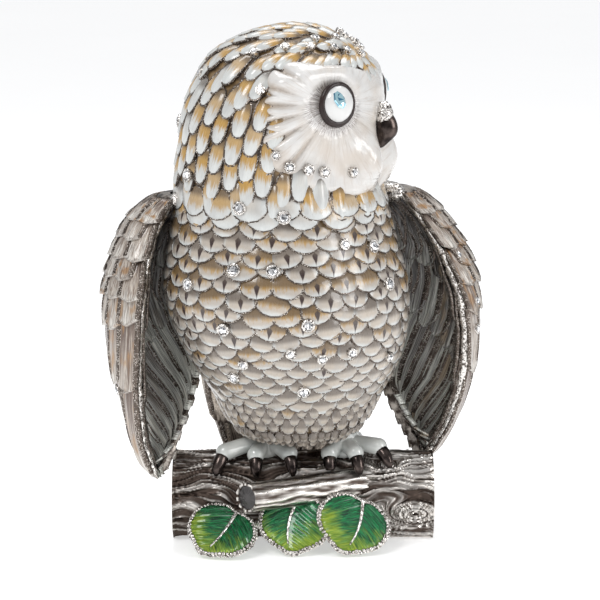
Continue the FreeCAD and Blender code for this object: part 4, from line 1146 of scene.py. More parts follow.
def wing_ring(side, level):
    """Centre, radius, the front edge's angle and the turn to the back edge, at a height."""
    rows = WING_ROWS[side]
    level = min(max(level, rows[0][0]), rows[-1][0])
    for below, above in zip(rows, rows[1:]):
        if level <= above[0]:
            break
    share = (level - below[0]) / (above[0] - below[0])
    front, outer, back = (Vector(p).lerp(Vector(q), share) for p, q in zip(below[1:], above[1:]))
    to_centre = circle_centre(outer - front, back - front)
    centre = front + to_centre
    start = math.atan2(front.y - centre.y, front.x - centre.x)
    end = math.atan2(back.y - centre.y, back.x - centre.x)
    return centre, to_centre.length, start, (side * (end - start)) % (2 * math.pi)


def wing_point(side, x, y, level):
    """A point of a wing's own drawing, put where that wing is."""
    if side < 0:
        return Vector((x, y, level)) * MM
    return (Matrix.Rotation(WING_YAW, 3, "Z") @ Vector((x, y, level)) + Vector((-5.0, 0, 0))) * MM


def wing_wall(radius):
    """The wing's wall, in millimetres, thinner where the wing is narrow."""
    return min(WING_WALL, 0.55 * radius)


def wing_surface(side, inside, skin):
    """A function from a distance behind the front edge and a height to a point and the way out."""
    def spot_at(behind, level):
        centre, radius, start, turn = wing_ring(side, level)
        reach = radius - wing_wall(radius) if inside else radius
        sweep = behind / max(reach, 2.0)
        way = Vector((math.cos(start + side * sweep), math.sin(start + side * sweep)))
        at = wing_point(side, *(centre + way * reach), level)
        hub = wing_point(side, *centre, level)
        spoke = (at - hub).normalized()
        out = -spoke if inside else spoke
        if 0 < sweep < turn:
            begin = hub if inside else at + spoke * 8 * MM
            hit = skin.ray_cast(begin, -out, 40 * MM)[0]
            if hit and (hit - at).length < 3 * MM:
                at = hit
        return at, out
    return spot_at


def wing_depth(side, level, inside):
    """How far the back edge is behind the front edge at a height, over the surface."""
    _, radius, _, turn = wing_ring(side, level)
    return turn * (radius - wing_wall(radius) if inside else radius)


def edge_height(side, behind, inside):
    """The height at which the back edge is this far behind the front edge."""
    level = WING_ROWS[side][0][0]
    while wing_depth(side, level, inside) < behind and level < EDGE_TOP:
        level += 0.5
    return level


def quill_pattern(name, long_way):
    """A long feather: a sheet with raised edges and shaft and a round tip, its base at the origin."""
    bpy.ops.mesh.primitive_grid_add(x_subdivisions=8, y_subdivisions=long_way, size=1)
    quill = named(name)
    for point in quill.data.vertices:
        column = round((point.co.x + 0.5) * 8)
        share = 0.5 - point.co.y
        narrow = math.sqrt(max(1 - max((share - 0.86) / 0.14, 0) ** 2, 0.0)) * 0.94 + 0.06
        point.co = Vector((QUILL_COLUMNS[column] * narrow, -share, QUILL_HEIGHTS[column]))
    uv = quill.data.uv_layers[0].data
    for loop in quill.data.loops:
        spot = quill.data.vertices[loop.vertex_index].co
        uv[loop.index].uv = (spot.x + 0.5, -spot.y)
    for face in quill.data.polygons:
        off = abs(face.center.x)
        face.material_index = 1 if off > 0.36 or -face.center.y > 0.985 else 0
    write_plume(quill, (0.0, 0.0, 0.0, 0.0))
    smooth(quill)
    return quill


def lay_quill(pattern, spot_at, start, end, width, lift, plume, tall=1.0):
    """Lays a long feather along a surface, from one (distance, height) pair to another."""
    quill = own_copy(pattern)
    for point in quill.data.vertices:
        x, y, high = point.co
        share = -y
        middle = start[0] + (end[0] - start[0]) * share
        level = start[1] + (end[1] - start[1]) * share
        widen = 0.72 + 0.28 * ramp(0, 0.5, share)
        at, out = spot_at(middle + x * width * widen, level)
        wave = 0.12 * math.sin(x * 40 + share * 9)
        point.co = at + out * (high * tall + lift * (0.25 + share) + wave) * MM
    write_plume(quill, plume)
    return quill


def quill_enamel(dark, middle, pale, warm):
    """Enamel brushed along a long feather, from dark at its base to pale at its tip."""
    def build(tree):
        where = node(tree, "ShaderNodeUVMap").outputs[0]
        parts_of = node(tree, "ShaderNodeSeparateXYZ", {0: where}).outputs
        plume = node(tree, "ShaderNodeSeparateColor", {0: stored(tree, "plume", "Color")}).outputs
        moved = own_place(tree, where, plume[2])
        streak = grain(tree, moved, 1.0, 5, 0.7, (13, 1.7, 1))
        hair = grain(tree, moved, 1.0, 3, 0.6, (42, 4, 1))
        broad = grain(tree, moved, 1.0, 2, 0.5, (3, 3.5, 1))
        along = maths(tree, "MULTIPLY_ADD", maths(tree, "SUBTRACT", streak, 0.5), 3.0, parts_of[1])
        along = maths(tree, "ADD", along, maths(tree, "MULTIPLY_ADD", plume[0], 0.9, -0.45))
        base = blend(tree, fade(tree, along, 0.15, 0.80), dark, middle)
        base = blend(tree, fade(tree, along, 0.70, 1.15), base, pale)
        base = blend(tree, maths(tree, "MULTIPLY", fade(tree, broad, 0.48, 0.66), plume[1]), base, warm)
        lines = fade(tree, hair, 0.56, 0.40)
        base = blend(tree, maths(tree, "MULTIPLY", lines, 0.7), base, dark)
        return {"Base Color": base, "Roughness": maths(tree, "MULTIPLY_ADD", hair, 0.25, 0.2),
                "Metallic": 0.15, "Coat Weight": 0.7, "Coat Roughness": 0.12,
                "Normal": bumped(tree, maths(tree, "ADD", streak, hair), 0.5, 0.0004)}
    return build


def wing_silver(tree):
    """The bare casting between the long feathers, mottled dark."""
    where = place_on_piece(tree)
    mottle = grain(tree, where, 300, 4, 0.6)
    tone = blend(tree, fade(tree, mottle, 0.38, 0.62), (0.05, 0.038, 0.032, 1), (0.52, 0.47, 0.42, 1))
    return {"Base Color": tone, "Metallic": 1.0, "Roughness": maths(tree, "MULTIPLY_ADD", mottle, 0.3, 0.2),
            "Normal": bumped(tree, mottle, 0.4, 0.0003)}


bare_casting = material("wing_silver", wing_silver)
repaint(("wing_left", "wing_right"), bare_casting)
inside_enamel = material("wing_inside_enamel", quill_enamel(
    dark=(0.022, 0.015, 0.013, 1), middle=(0.33, 0.315, 0.30, 1), pale=(0.72, 0.73, 0.67, 1),
    warm=(0.44, 0.35, 0.25, 1)))
outside_enamel = material("wing_outside_enamel", quill_enamel(
    dark=(0.12, 0.075, 0.055, 1), middle=(0.52, 0.455, 0.39, 1), pale=(0.70, 0.67, 0.62, 1),
    warm=(0.42, 0.22, 0.07, 1)))
long_quill = quill_pattern("long_quill", 18)
short_quill = quill_pattern("short_quill", 9)
for pattern in (long_quill, short_quill):
    coated(pattern, inside_enamel, feather_rim)
for wing_name, side in (("wing_left", 1), ("wing_right", -1)):
    skin = skin_of(wing_name)
    within = wing_surface(side, True, skin)
    without = wing_surface(side, False, skin)

    inner_quills = []
    for tier, (count, first_end, last_end, long_by, step, pale) in enumerate(WING_INSIDE):
        for k in range(count):
            behind = 3.0 + step * k
            if first_end is None:
                low = max(edge_height(side, behind - 1.6, True) - 3.2, QUILL_FOOT)
            else:
                low = first_end + (last_end - first_end) * k / (count - 1) + chance.uniform(-1.2, 1.2)
            high = min(low + long_by, 109)
            start = (min(behind * 0.8 + 1.0, wing_depth(side, high, True) - 2), high)
            plume = (pale + chance.uniform(-0.35, 0.25), 1.0 if side > 0 and k in (3, 4) else 0.25,
                     chance.random(), 1.0)
            inner_quills.append(lay_quill(long_quill, within, start, (behind, low), step * 1.5,
                                          0.35 + 0.6 * tier, plume, 2.0))
    lining = join(inner_quills, f"{wing_name}_lining")
    modified(lining, "SOLIDIFY", thickness=QUILL_THICKNESS, offset=-1, use_even_offset=False)
    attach(lining, "root")

    outer_quills = []
    for tier, (count, first_end, last_end, long_by, step) in enumerate(WING_OUTSIDE):
        for k in range(count):
            behind = 3.4 + step * k
            if first_end is None:
                low = max(edge_height(side, behind + 1.8, False) - 0.9, QUILL_FOOT)
            else:
                low = first_end + (last_end - first_end) * k / (count - 1) + chance.uniform(-1.5, 1.5)
                if behind > wing_depth(side, low, False) - 4.5:
                    continue
            high = min(low + long_by, 104)
            start = (min(behind, wing_depth(side, high, False) - 4), high)
            plume = (0.5 + chance.uniform(-0.3, 0.3), chance.choice((0.0, 0.7)), chance.random(), 1.0)
            outer_quills.append(lay_quill(long_quill if tier < 2 else short_quill, without, start,
                                          (behind, low), step * 1.28, 0.4 + 0.5 * tier, plume, 1.3))
    for row, low in enumerate(SHORT_ROWS):
        for k in range(8):
            behind = 3.0 + SHORT_STEP * (k + 0.5 * (row % 2))
            if behind > wing_depth(side, low + 2, False) - 2:
                continue
            plume = (0.75 + chance.uniform(-0.2, 0.2), chance.choice((0.1, 0.9)), chance.random(), 1.0)
            outer_quills.append(lay_quill(short_quill, without, (behind, min(low + 12, 111)),
                                          (behind, low), 7.4, 1.9, plume, 2.2))
    cover = join(outer_quills, f"{wing_name}_cover")
    coated(cover, outside_enamel, feather_rim)
    modified(cover, "SOLIDIFY", thickness=QUILL_THICKNESS, offset=-1, use_even_offset=False)
    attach(cover, "root")

    # The wing's top is closed with a rounded, rough silver mound.
    bpy.ops.mesh.primitive_uv_sphere_add(segments=40, ring_count=24, radius=1)
    shoulder = named(f"{wing_name}_shoulder")
    top_front, top_back = (Vector(WING_ROWS[side][-1][k]) for k in (1, 3))
    top_middle = (top_front + top_back) / 2
    half_long = (top_back - top_front).length / 2 + 1.6
    slant = math.atan2(*(top_back - top_front).yx)
    for point in shoulder.data.vertices:
        rough = 1 + 0.10 * noise.noise(point.co * 5)
        flat = Matrix.Rotation(slant, 2) @ Vector((point.co.x * half_long, point.co.y * 4.2)) * rough
        point.co = wing_point(side, top_middle.x + flat.x + 1.2 * side, top_middle.y + flat.y,
                              110.6 + point.co.z * 3.4 * rough)
    outward(shoulder)
    smooth(shoulder)
    shoulder.data.materials.append(grain_silver)
    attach(shoulder, "root")

    # The front edge is a rough bead that thins out at the foot and the top.
    bpy.ops.mesh.primitive_circle_add(vertices=12, radius=1, fill_type="NOTHING")
    rim = named(f"{wing_name}_rim")
    drawn_out(rim, 1, 150)
    for point in rim.data.vertices:
        level = WING_FOOT + (WING_TOP - WING_FOOT) * point.co.z
        centre, radius, begin = wing_ring(side, level)[:3]
        wall = wing_wall(radius)
        angle = begin + side * 0.4 / radius
        way = Vector((math.cos(angle), math.sin(angle)))
        along = Vector((-way.y, way.x)) * side
        thick = 1.0 + 0.35 * noise.noise(Vector((point.co.x * 2, point.co.y * 2, level * 0.9))) + \
            0.25 * noise.noise(Vector((point.co.x * 3, point.co.y * 3, level * 2.3)))
        thick *= min(1.0, 0.25 + (level - WING_FOOT) * 0.25, 0.25 + (WING_TOP - level) * 0.25)
        mid = centre + way * (radius - wall / 2)
        flat = mid + way * (point.co.x * (wall / 2 + 0.35) * thick) + along * (point.co.y * 1.15 * thick)
        point.co = wing_point(side, flat.x, flat.y, level)
    fill_ends(rim)
    outward(rim)
    smooth(rim, 60)
    rim.data.materials.append(grain_silver)
    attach(rim, "root")


# ================================================================ the tail
# The tail is one casting that hangs behind the log. Its feathers are chased in two rows and only
# silvered, with brown left in the grooves.

tail_low, tail_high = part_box("tail")
tail_skin = skin_of("tail")
tail_hub = (tail_low + tail_high) / 2
TAIL_GIRTH = 96.0
# Its rows of feathers: where they end, how long they are, how many, how far they stand out and how
# far round they are shifted, in feathers.
TAIL_ROWS = (
    (11.5, 46.0, 18, 0.3, 0.0),
    (33.0, 28.0, 17, 0.9, 0.5),
)


def tail_surface(behind, level):
    """A point of the tail and the way out, at millimetres round it and a height."""
    angle = 2 * math.pi * behind / TAIL_GIRTH + WING_YAW
    way = Vector((math.sin(angle), math.cos(angle), 0))
    squashed = Vector((way.x, way.y * 0.35, 0)).normalized()
    hub = Vector((tail_hub.x, tail_hub.y, max(level * MM, tail_low.z + 0.6 * MM)))
    hit = tail_skin.ray_cast(hub + way * 80 * MM, -way)[0]
    out = Matrix.Rotation(WING_YAW, 3, "Z") @ Vector((math.sin(angle - WING_YAW) * 0.4,
                                                      math.cos(angle - WING_YAW), 0)).normalized()
    if hit is None:
        return hub + squashed * 12 * MM, out
    return hit + Vector((0, 0, level * MM - hub.z)), out


def tail_metal(tree):
    """Old silver with strokes along each feather."""
    where = node(tree, "ShaderNodeUVMap").outputs[0]
    streak = grain(tree, where, 1.0, 5, 0.7, (16, 2.2, 1))
    old = placed(tree, old_silver, Relief=streak, Silver=(0.62, 0.55, 0.47, 1),
                 **{"Dark below": 0.38, "Bright above": 0.62})
    return {"Base Color": old["Color"], "Metallic": 0.85, "Roughness": old["Roughness"],
            "Normal": bumped(tree, streak, 0.7, 0.0004)}


repaint(("tail",), bare_casting)
tail_quills = []
for low, long_by, count, lift, shifted in TAIL_ROWS:
    for k in range(count):
        behind = TAIL_GIRTH * (k + shifted) / count
        end = low + chance.uniform(-0.6, 1.4)
        plume = (0.5, 0.0, chance.random(), 1.0)
        tail_quills.append(lay_quill(long_quill, tail_surface, (behind, end + long_by), (behind, end),
                                     TAIL_GIRTH / count * 1.25, lift, plume))
tail = join(tail_quills, "tail_feathers")
coated(tail, material("tail_metal", tail_metal), feather_rim)
modified(tail, "SOLIDIFY", thickness=QUILL_THICKNESS, offset=-1, use_even_offset=False)
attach(tail, "root")


# ================================================================ the feet
# Each foot is a casting with three fat toes over the log and one behind, enamelled pale grey. The
# claws are separate castings, polished and blackened, set into the toes' ends.

def softened(name, voxel, rounds, swell, *nodes):
    """A copy of CAD castings, remeshed fine, smoothed as if tumbled, and thickened by the enamel."""
    copies = []
    for node_name in nodes:
        copy = own_copy(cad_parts[node_name])
        copy.name = f"{name}_{node_name}"
        copies.append(copy)
    made = join(copies, name)
    made.data.materials.clear()
    outward(made)
    modified(made, "REMESH", mode="VOXEL", voxel_size=voxel)
    modified(made, "SMOOTH", factor=0.5, iterations=rounds)
    modified(made, "DISPLACE", strength=swell, mid_level=0)
    smooth(made)
    return made


def toe_enamel(tree):
    """Pale grey enamel, a little wrinkled across the toes."""
    where = place_on_piece(tree)
    cloud = grain(tree, where, 140, 3, 0.5)
    wrinkle = grain(tree, where, 700, 3, 0.5, (1, 1, 2.2))
    tone = blend(tree, fade(tree, cloud, 0.35, 0.7), (0.50, 0.52, 0.50, 1), (0.68, 0.69, 0.66, 1))
    return {"Base Color": tone, "Roughness": 0.16, "Coat Weight": 1.0, "Coat Roughness": 0.05,
            "Normal": bumped(tree, wrinkle, 0.25, 0.0002)}


def claw_metal(tree):
    """Blackened, polished metal."""
    where = place_on_piece(tree)
    cloud = grain(tree, where, 300, 3, 0.5)
    tone = blend(tree, fade(tree, cloud, 0.35, 0.7), (0.018, 0.013, 0.012, 1), (0.10, 0.078, 0.070, 1))
    return {"Base Color": tone, "Metallic": 0.9, "Roughness": maths(tree, "MULTIPLY_ADD", cloud, 0.2, 0.10),
            "Normal": bumped(tree, cloud, 0.2, 0.0002)}


toe_paint = material("toe_enamel", toe_enamel)
claw_black = material("claw_metal", claw_metal)
for side_name in ("right", "left"):
    foot = softened(f"{side_name}_toes", 0.32 * MM, 6, 0.42 * MM, f"foot_{side_name}")
    foot.data.materials.append(toe_paint)
    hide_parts(f"foot_{side_name}")
    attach(foot, "root")
    claws = softened(f"{side_name}_claws", 0.25 * MM, 3, 0.5 * MM, f"talons_{side_name}")
    claws.data.materials.append(claw_black)
    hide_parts(f"talons_{side_name}")
    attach(claws, "root")


# ================================================================ the face
# The face is a separate plate let into the head: two shallow dishes round the eyes, cast with lobes
# and grooves that spread from the eyes, and filled with ivory enamel brushed with brown at the lids.

EYE_HEIGHT = 143.2
EYE_TURN = math.radians(42)
FACE_CELLS_ACROSS, FACE_CELLS_UP = 230, 130
HEAD_REACH = 31.0
LEAST_RELIEF = 0.5
# The grooves' directions from the eye, in degrees up from level. A lobe swells between each two.
GROOVES = (58, 30, 13, -1, -15, -31, -52)


def face_relief(turn, level):
    """The face at a turn from the beak and a height: how far it stands off the head, how deep in a
    groove it is, and the distance and direction from the eye, in millimetres and degrees."""
    across = turn * HEAD_REACH
    dx = abs(across) - EYE_TURN * HEAD_REACH
    dz = level - EYE_HEIGHT
    away = math.hypot(dx, dz)
    relief = 1.1
    # The dishes' inner edges stand out each side of the beak.
    relief += 5.2 * math.exp(-(((abs(across) - 8.8) / 5.6) ** 2) - ((level - 123.5) / 9.0) ** 2)
    relief -= 1.5 * math.exp(-((across / 3.4) ** 2)) * ramp(142, 130, level)
    # A ridge sweeps from between the eyes over each eye and down its outer side.
    brow = 151.0 - 0.014 * dx * dx + 0.05 * dx
    relief += 2.1 * math.exp(-(((level - brow) / 3.0) ** 2)) * ramp(-14, -3, dx) * ramp(30, 14, dx)
    # Each eye lies in a socket.
    relief -= 1.7 * math.exp(-((away / 7.8) ** 4))
    # Grooves spread from the eye over the outer part of the dish, and the lobes between them swell.
    angle = math.degrees(math.atan2(dz, dx))
    spread = ramp(8, 19, away) * ramp(-4, 6, dx)
    groove, swell = 0.0, 0.0
    for first, second in zip(GROOVES, GROOVES[1:]):
        groove = max(groove, math.exp(-(((angle - second) / 2.3) ** 2)))
        share = (angle - second) / (first - second)
        if 0 < share < 1:
            swell = math.sin(math.pi * share) ** 0.7
    relief += (1.25 * swell - 1.3 * groove) * spread
    fine = math.sin(math.radians(angle) * 30 + 2 * noise.noise(Vector((across * 0.2, level * 0.2, 0))))
    relief += 0.05 * fine * ramp(7, 12, away)
    return max(relief, LEAST_RELIEF), groove * spread, away, angle


bpy.ops.mesh.primitive_grid_add(x_subdivisions=FACE_CELLS_ACROSS, y_subdivisions=FACE_CELLS_UP, size=2)
face = named("face_plate")
face_values = []
for point in face.data.vertices:
    x, y = on_disc(point.co.x, point.co.y)
    angle = math.atan2(y, x)
    half_height, power = face_half(y)
    oval = (abs(math.cos(angle)) ** power + abs(math.sin(angle)) ** power) ** (-1 / power)
    out_by = math.hypot(x, y)
    reach = oval * face_edge(angle) * out_by
    turn = math.cos(angle) * reach * FACE_HALF_TURN
    level = (FACE_MIDDLE + math.sin(angle) * reach * half_height) / MM
    spot, out = on_casting(head_skin, HEAD_AXIS, FACE_YAW + turn, level * MM)
    relief, groove, away, eye_angle = face_relief(turn, level)
    rim = ramp(1.0, 0.93, out_by)
    roll = math.sqrt(max(1 - ((out_by - 0.90) / 0.10) ** 2, 0)) if out_by > 0.90 else 1.0
    point.co = spot + out * (relief * roll - 0.5 * (1 - roll)) * MM
    face_values.append((groove * rim, away, eye_angle))
write_points(face.data, "groove", [value[0] for value in face_values])
write_points(face.data, "from_eye", [value[1] for value in face_values])
uv = face.data.uv_layers[0].data
for loop in face.data.loops:
    away, eye_angle = face_values[loop.vertex_index][1:]
    uv[loop.index].uv = (eye_angle / 30, away / 10)
modified(face, "SOLIDIFY", thickness=0.9 * MM, offset=-1, use_even_offset=False)
smooth(face, 70)


def face_enamel(tree):
    """Ivory enamel, with brown hairs round the eye and brown painted shade in the grooves."""
    round_eye = node(tree, "ShaderNodeUVMap").outputs[0]
    where = place_on_piece(tree)
    away = stored(tree, "from_eye")
    groove = stored(tree, "groove")
    hair = grain(tree, round_eye, 1.0, 4, 0.6, (16, 1.1, 1))
    fine = grain(tree, round_eye, 1.0, 3, 0.6, (40, 2.4, 1))
    cloud = grain(tree, where, 90, 3, 0.5)
    ivory = blend(tree, fade(tree, cloud, 0.35, 0.68), (0.66, 0.65, 0.635, 1), (0.56, 0.505, 0.45, 1))
    streaks = maths(tree, "MULTIPLY", fade(tree, hair, 0.50, 0.68), 0.38)
    ivory = blend(tree, streaks, ivory, (0.44, 0.36, 0.30, 1))
    # Painted shade: the grooves that spread from the eyes are darkened towards brown by their depth.
    ivory = blend(tree, maths(tree, "MULTIPLY", groove, 0.75), ivory, (0.46, 0.37, 0.29, 1))
    under = fade(tree, node(tree, "ShaderNodeSeparateXYZ", {0: where}).outputs[2], 0.150, 0.141)
    lash_reach = maths(tree, "MULTIPLY_ADD", maths(tree, "SUBTRACT", fine, 0.5), 9.0, away)
    lash_reach = maths(tree, "MULTIPLY_ADD", under, -3.4, maths(tree, "ADD", lash_reach, 1.5))
    lashes = maths(tree, "MULTIPLY", fade(tree, lash_reach, 8.4, 6.2), fade(tree, fine, 0.60, 0.44))
    tone = blend(tree, maths(tree, "MULTIPLY", lashes, 0.85), ivory, (0.07, 0.04, 0.035, 1))
    return {"Base Color": tone, "Roughness": 0.22, "Coat Weight": 0.8, "Coat Roughness": 0.08,
            "Normal": bumped(tree, maths(tree, "ADD", hair, fine), 0.3, 0.0003)}


face.data.materials.append(material("face_enamel", face_enamel))
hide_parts("face_disc")
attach(face, "root")


# ================================================================ the eyes
# Each eye is a white enamelled dome in a blackened ring, with an oval, pale blue stone glued high
# on it, like a pupil that looks up.

EYE_RING_RADIUS = 5.45 * MM
EYE_DOME_RADIUS = 5.25 * MM
EYE_TALL = 1.10
PUPIL_PLACE = Vector((-0.9, 1.8, -2.7)) * MM
PUPIL_SIZE = Vector((2.1, 3.1, -1.5)) * MM


def ring_metal(tree):
    """Nearly black, with only a soft shine."""
    where = place_on_piece(tree)
    cloud = grain(tree, where, 500, 3, 0.6)
    tone = blend(tree, cloud, (0.008, 0.005, 0.005, 1), (0.040, 0.024, 0.021, 1))
    return {"Base Color": tone, "Roughness": 0.24, "Specular IOR Level": 0.3,
            "Normal": bumped(tree, cloud, 0.5, 0.0004)}


def eye_white(tree):
    """Glossy white enamel."""
    cloud = grain(tree, place_on_piece(tree), 200, 2, 0.5)
    return {"Base Color": blend(tree, cloud, (0.64, 0.64, 0.63, 1), (0.70, 0.70, 0.69, 1)),
            "Roughness": 0.07, "Coat Weight": 1.0, "Coat Roughness": 0.03}


def cut_stone(dark, light):
    """Foiled crystal whose facets are painted light or dark, as painted reflections of the light from other
    sides.
    """
    def build(tree):
        # Painted reflection: each facet's colour is light or dark by chance, standing in for what the foil
        # throws back.
        painted_glint = stored(tree, "facet")
        return {"Base Color": blend(tree, painted_glint, dark, light), "Metallic": 0.9, "Roughness": 0.04,
                "Coat Weight": 1.0, "Coat Roughness": 0.01}
    return build


lid_black = material("ring_metal", ring_metal)
dome_white = material("eye_white", eye_white)
blue_stone = material("blue_stone", cut_stone((0.03, 0.24, 0.42, 1), (0.55, 0.88, 0.98, 1)))
clear_stone = material("clear_stone", cut_stone((0.10, 0.11, 0.12, 1), (0.97, 0.97, 0.98, 1)))


def brilliant(name, sides=8):
    """A round cut stone of radius 1 that faces +Z: a table, a crown in two steps and a girdle."""
    girdle = 0.28
    bpy.ops.mesh.primitive_cone_add(vertices=sides, radius1=1.0, radius2=0.82, depth=girdle,
                                    location=(0, 0, girdle / 2))
    stone = named(name)
    in_place(stone)
    top = max(stone.data.polygons, key=lambda face: face.center.z).index
    only(stone)
    bpy.ops.object.mode_set(mode="EDIT")
    bpy.ops.mesh.select_all(action="DESELECT")
    bpy.ops.object.mode_set(mode="OBJECT")
    stone.data.polygons[top].select = True
    bpy.ops.object.mode_set(mode="EDIT")
    bpy.ops.mesh.extrude_region_move()
    middle = (0, 0, girdle)
    bpy.ops.transform.rotate(value=math.pi / sides, orient_axis="Z", center_override=middle)
    bpy.ops.transform.resize(value=(0.62, 0.62, 1), center_override=middle)
    bpy.ops.transform.translate(value=(0, 0, 0.26))
    bpy.ops.mesh.select_all(action="SELECT")
    bpy.ops.mesh.quads_convert_to_tris()
    bpy.ops.object.mode_set(mode="OBJECT")
    return stone


def paint_facet_glints(stone):
    """Gives every facet its own painted reflection: a share of light or dark, by chance."""
    edit_all(stone)
    bpy.ops.mesh.edge_split(type="EDGE")
    bpy.ops.object.mode_set(mode="OBJECT")
    # The facets are taken by their places, because a split can leave them in another order each time.
    facets = sorted(stone.data.polygons, key=lambda facet: [round(c / MM, 3) for c in facet.center])
    tones = [0.0] * len(stone.data.vertices)
    for facet in facets:
        tone = chance.choice((0.05, 0.35, 0.9, 1.0, 1.0))
        for corner in facet.vertices:
            tones[corner] = tone
    write_points(stone.data, "facet", tones)


round_stone = brilliant("round_stone")
for side_name, lean in (("right", -EYE_TURN), ("left", EYE_TURN)):
    azimuth = FACE_YAW + lean
    out = Vector((math.sin(azimuth), -math.cos(azimuth), 0))
    side = Vector((math.cos(azimuth), math.sin(azimuth), 0))
    ring_low, ring_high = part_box(f"eye_ring_{side_name}")
    middle = (ring_low + ring_high) / 2
    eye_place = Matrix.Translation(middle) @ Matrix((side, Vector((0, 0, 1)), -out)).transposed().to_4x4()

    bpy.ops.mesh.primitive_torus_add(major_radius=EYE_RING_RADIUS, minor_radius=0.8 * MM,
                                     major_segments=72, minor_segments=16)
    lid = named(f"{side_name}_eye_lid")
    for point in lid.data.vertices:
        angle = math.atan2(point.co.y, point.co.x)
        heavy = 1 + 0.28 * math.cos(angle - math.radians(235)) + 0.16 * abs(math.sin(angle))
        ring = Vector((math.cos(angle), math.sin(angle), 0)) * EYE_RING_RADIUS
        point.co = ring + (point.co - ring) * heavy
        point.co.y *= EYE_TALL
        point.co.z = -point.co.z * 1.1
    lid.matrix_world = eye_place
    in_place(lid)
    outward(lid)
    smooth(lid)
    lid.data.materials.append(lid_black)
    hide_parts(f"eye_ring_{side_name}")
    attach(lid, "root")

    bpy.ops.mesh.primitive_uv_sphere_add(segments=48, ring_count=24, radius=EYE_DOME_RADIUS)
    dome = named(f"{side_name}_eye_dome")
    for point in dome.data.vertices:
        point.co = Vector((point.co.x, point.co.y * EYE_TALL, point.co.z * 0.72))
    dome.matrix_world = eye_place @ Matrix.Translation((0, 0, 0.3 * MM))
    in_place(dome)
    outward(dome)
    smooth(dome)
    dome.data.materials.append(dome_white)
    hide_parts(f"eyeball_{side_name}")
    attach(dome, "root")

    pupil = own_copy(round_stone)
    pupil.name = f"{side_name}_eye_stone"
    paint_facet_glints(pupil)
    pupil.matrix_world = eye_place @ Matrix.Translation(PUPIL_PLACE) @ \
        Matrix.Rotation(math.radians(24), 4, "X") @ Matrix.Rotation(math.radians(10), 4, "Z") @ \
        Matrix.Diagonal(PUPIL_SIZE.to_4d())
    in_place(pupil)
    outward(pupil)
    paint_facet_glints(pupil)
    pupil.data.materials.append(blue_stone)
    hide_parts(f"eye_stone_{side_name}")
    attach(pupil, "root")


# ================================================================ the beak
# The beak is a hooked casting, blackened and polished, with a rough silver bridge over its root.

beak_low, beak_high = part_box("beak")
beak_middle = (beak_low + beak_high) / 2
FACE_SIDE = Vector((math.cos(FACE_YAW), math.sin(FACE_YAW), 0))
bpy.ops.mesh.primitive_uv_sphere_add(segments=32, ring_count=28, radius=1)
beak = named("beak_horn")
for point in beak.data.vertices:
    x, y, z = point.co
    slim = 1 - 0.32 * ramp(0.1, -1.0, z)
    hook = -1.3 * ramp(-0.2, -1.0, z)
    ridge = 1 + 0.16 * max(y, 0) * (1 - abs(x))
    point.co = (FACE_SIDE * (x * 3.0 * slim) + FACE_WAY * (y * 3.7 * slim * ridge + hook - 0.7) +
                Vector((0, 0, z * 5.9 - 0.9))) * MM + beak_middle
outward(beak)
smooth(beak)
beak.data.materials.append(claw_black)
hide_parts("beak")
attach(beak, "root")

bpy.ops.mesh.primitive_uv_sphere_add(segments=28, ring_count=18, radius=1)
bridge = named("beak_bridge")
for point in bridge.data.vertices:
    x, y, z = point.co
    rough = 1 + 0.12 * noise.noise(point.co * 4)
    point.co = (FACE_SIDE * (x * 2.9) + FACE_WAY * (y * 3.0 - 1.0) +
                Vector((0, 0, z * 4.2 + 3.4))) * MM + beak_middle
    point.co += (point.co - beak_middle) * (rough - 1)
outward(bridge)
smooth(bridge)
bridge.data.materials.append(grain_silver)
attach(bridge, "root")


# ================================================================ the stones
# Small clear crystals, foiled behind, are glued in silver cups with beaded edges over the owl's
# body, crown, cheeks and wings.

def loose_parts(name):
    """Centre and size of each separate shell of a CAD node."""
    copy = own_copy(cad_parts[name])
    edit_all(copy)
    bpy.ops.mesh.remove_doubles(threshold=MERGE_WITHIN)
    bpy.ops.mesh.separate(type="LOOSE")
    bpy.ops.object.mode_set(mode="OBJECT")
    pieces = list(bpy.context.selected_objects)
    found = []
    for piece in pieces:
        corners = [point.co for point in piece.data.vertices]
        middle = sum(corners, Vector()) / len(corners)
        found.append((middle, max((corner - middle).length for corner in corners)))
        bpy.data.objects.remove(piece)
    return found


bpy.ops.mesh.primitive_torus_add(major_radius=1.12, minor_radius=0.24, major_segments=20, minor_segments=6)
stone_cup = named("stone_cup")
for point in stone_cup.data.vertices:
    angle = math.atan2(point.co.y, point.co.x)
    point.co *= 1 + 0.045 * math.cos(10 * angle)
smooth(stone_cup)
for group in ("body", "head", "face", "wing_left", "wing_right"):
    stones, cups = [], []
    seats = loose_parts(f"{group}_cups")
    for middle, reach in loose_parts(f"{group}_stones"):
        seat = min(seats, key=lambda found: (found[0] - middle).length)[0]
        away = (middle - seat).normalized()
        turned = away.to_track_quat("Z", "Y").to_matrix().to_4x4()
        spin = Matrix.Rotation(chance.uniform(0, 3), 4, "Z")
        base = Matrix.Translation(middle + away * 0.15 * MM) @ turned @ spin
        stone = own_copy(round_stone)
        stone.matrix_world = base @ Matrix.Scale(reach * 0.98, 4)
        in_place(stone)
        stones.append(stone)
        cup = own_copy(stone_cup)
        cup.matrix_world = base @ Matrix.Scale(reach, 4)
        in_place(cup)
        cups.append(cup)
    stones = join(stones, f"{group}_crystals")
    paint_facet_glints(stones)
    stones.data.materials.append(clear_stone)
    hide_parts(f"{group}_stones")
    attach(stones, "root")
    cups = join(cups, f"{group}_bezels")
    cups.data.materials.append(grain_silver)
    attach(cups, "root")
    repaint((f"{group}_cups",), grain_silver)


# ================================================================ the floor, the lights and the camera
# A pale sweep under soft boxes, and a camera a little above the owl.

bpy.ops.mesh.primitive_plane_add(size=30, location=(0, 0, -0.0002))
floor = named("floor")


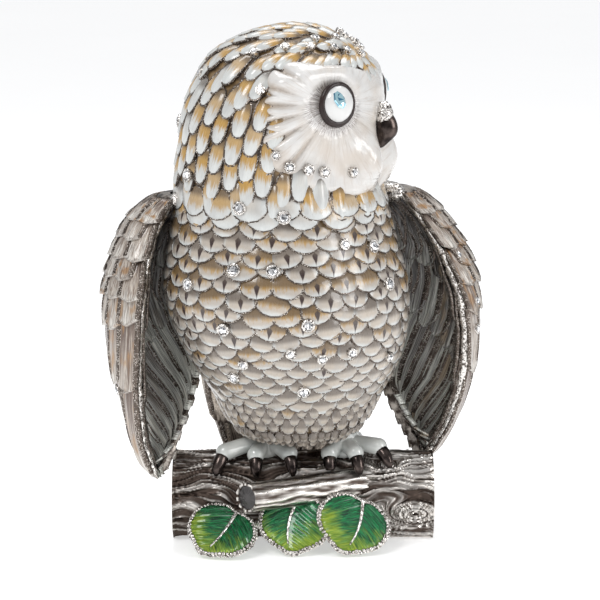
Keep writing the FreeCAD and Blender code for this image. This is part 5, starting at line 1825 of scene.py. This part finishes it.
def pale_floor(tree):
    """Nearly white, and lit a little from within."""
    where = place_on_piece(tree)
    white = blend(tree, grain(tree, where, 4), (0.90, 0.90, 0.90, 1), (0.93, 0.93, 0.93, 1))
    return {"Base Color": white, "Roughness": 0.22, "Emission Color": white, "Emission Strength": 0.52}


floor.data.materials.append(material("pale_floor", pale_floor))

world = bpy.data.worlds.new("studio")
bpy.context.scene.world = world
world.use_nodes = True
sky = world.node_tree.nodes["Background"]
sky.inputs["Color"].default_value = (0.97, 0.98, 1.0, 1)
sky.inputs["Strength"].default_value = 0.50
bpy.context.scene.view_settings.view_transform = "Standard"


def soft_box(name, place, aim, size, watts):
    """A rectangular lamp at a place, turned to what it lights."""
    lamp = bpy.data.lights.new(name, "AREA")
    lamp.shape = "RECTANGLE"
    lamp.size, lamp.size_y = size
    lamp.energy = watts
    box = bpy.data.objects.new(name, lamp)
    bpy.context.collection.objects.link(box)
    box.location = place
    box.rotation_euler = (Vector(aim) - Vector(place)).to_track_quat("-Z", "Y").to_euler()


OWL_MIDDLE = Vector((-0.001, 0, 0.077))
soft_box("key_light", (-0.45, -0.60, 0.80), OWL_MIDDLE, (0.35, 0.35), 4.2)
soft_box("fill_light", (0.75, -0.45, 0.35), OWL_MIDDLE, (0.30, 0.5), 2.7)
soft_box("top_light", (0.0, 0.25, 0.8), OWL_MIDDLE, (0.6, 0.3), 2.8)

CAMERA_RISE = math.radians(12)
CAMERA_AWAY = 0.700
CAMERA_LENS = 131.25
camera = bpy.data.objects.new("camera", bpy.data.cameras.new("camera"))
bpy.context.collection.objects.link(camera)
camera.location = OWL_MIDDLE + Vector((0, -math.cos(CAMERA_RISE), math.sin(CAMERA_RISE))) * CAMERA_AWAY
camera.rotation_euler = (OWL_MIDDLE - camera.location).to_track_quat("-Z", "Y").to_euler()
camera.data.sensor_width = 36
camera.data.lens = CAMERA_LENS
camera.data.clip_start = 0.01
bpy.context.scene.camera = camera

for pattern in (breast_pattern, hem_pattern, crown_pattern, collar_pattern, long_quill, short_quill,
                round_stone, stone_cup):
    bpy.data.objects.remove(pattern)
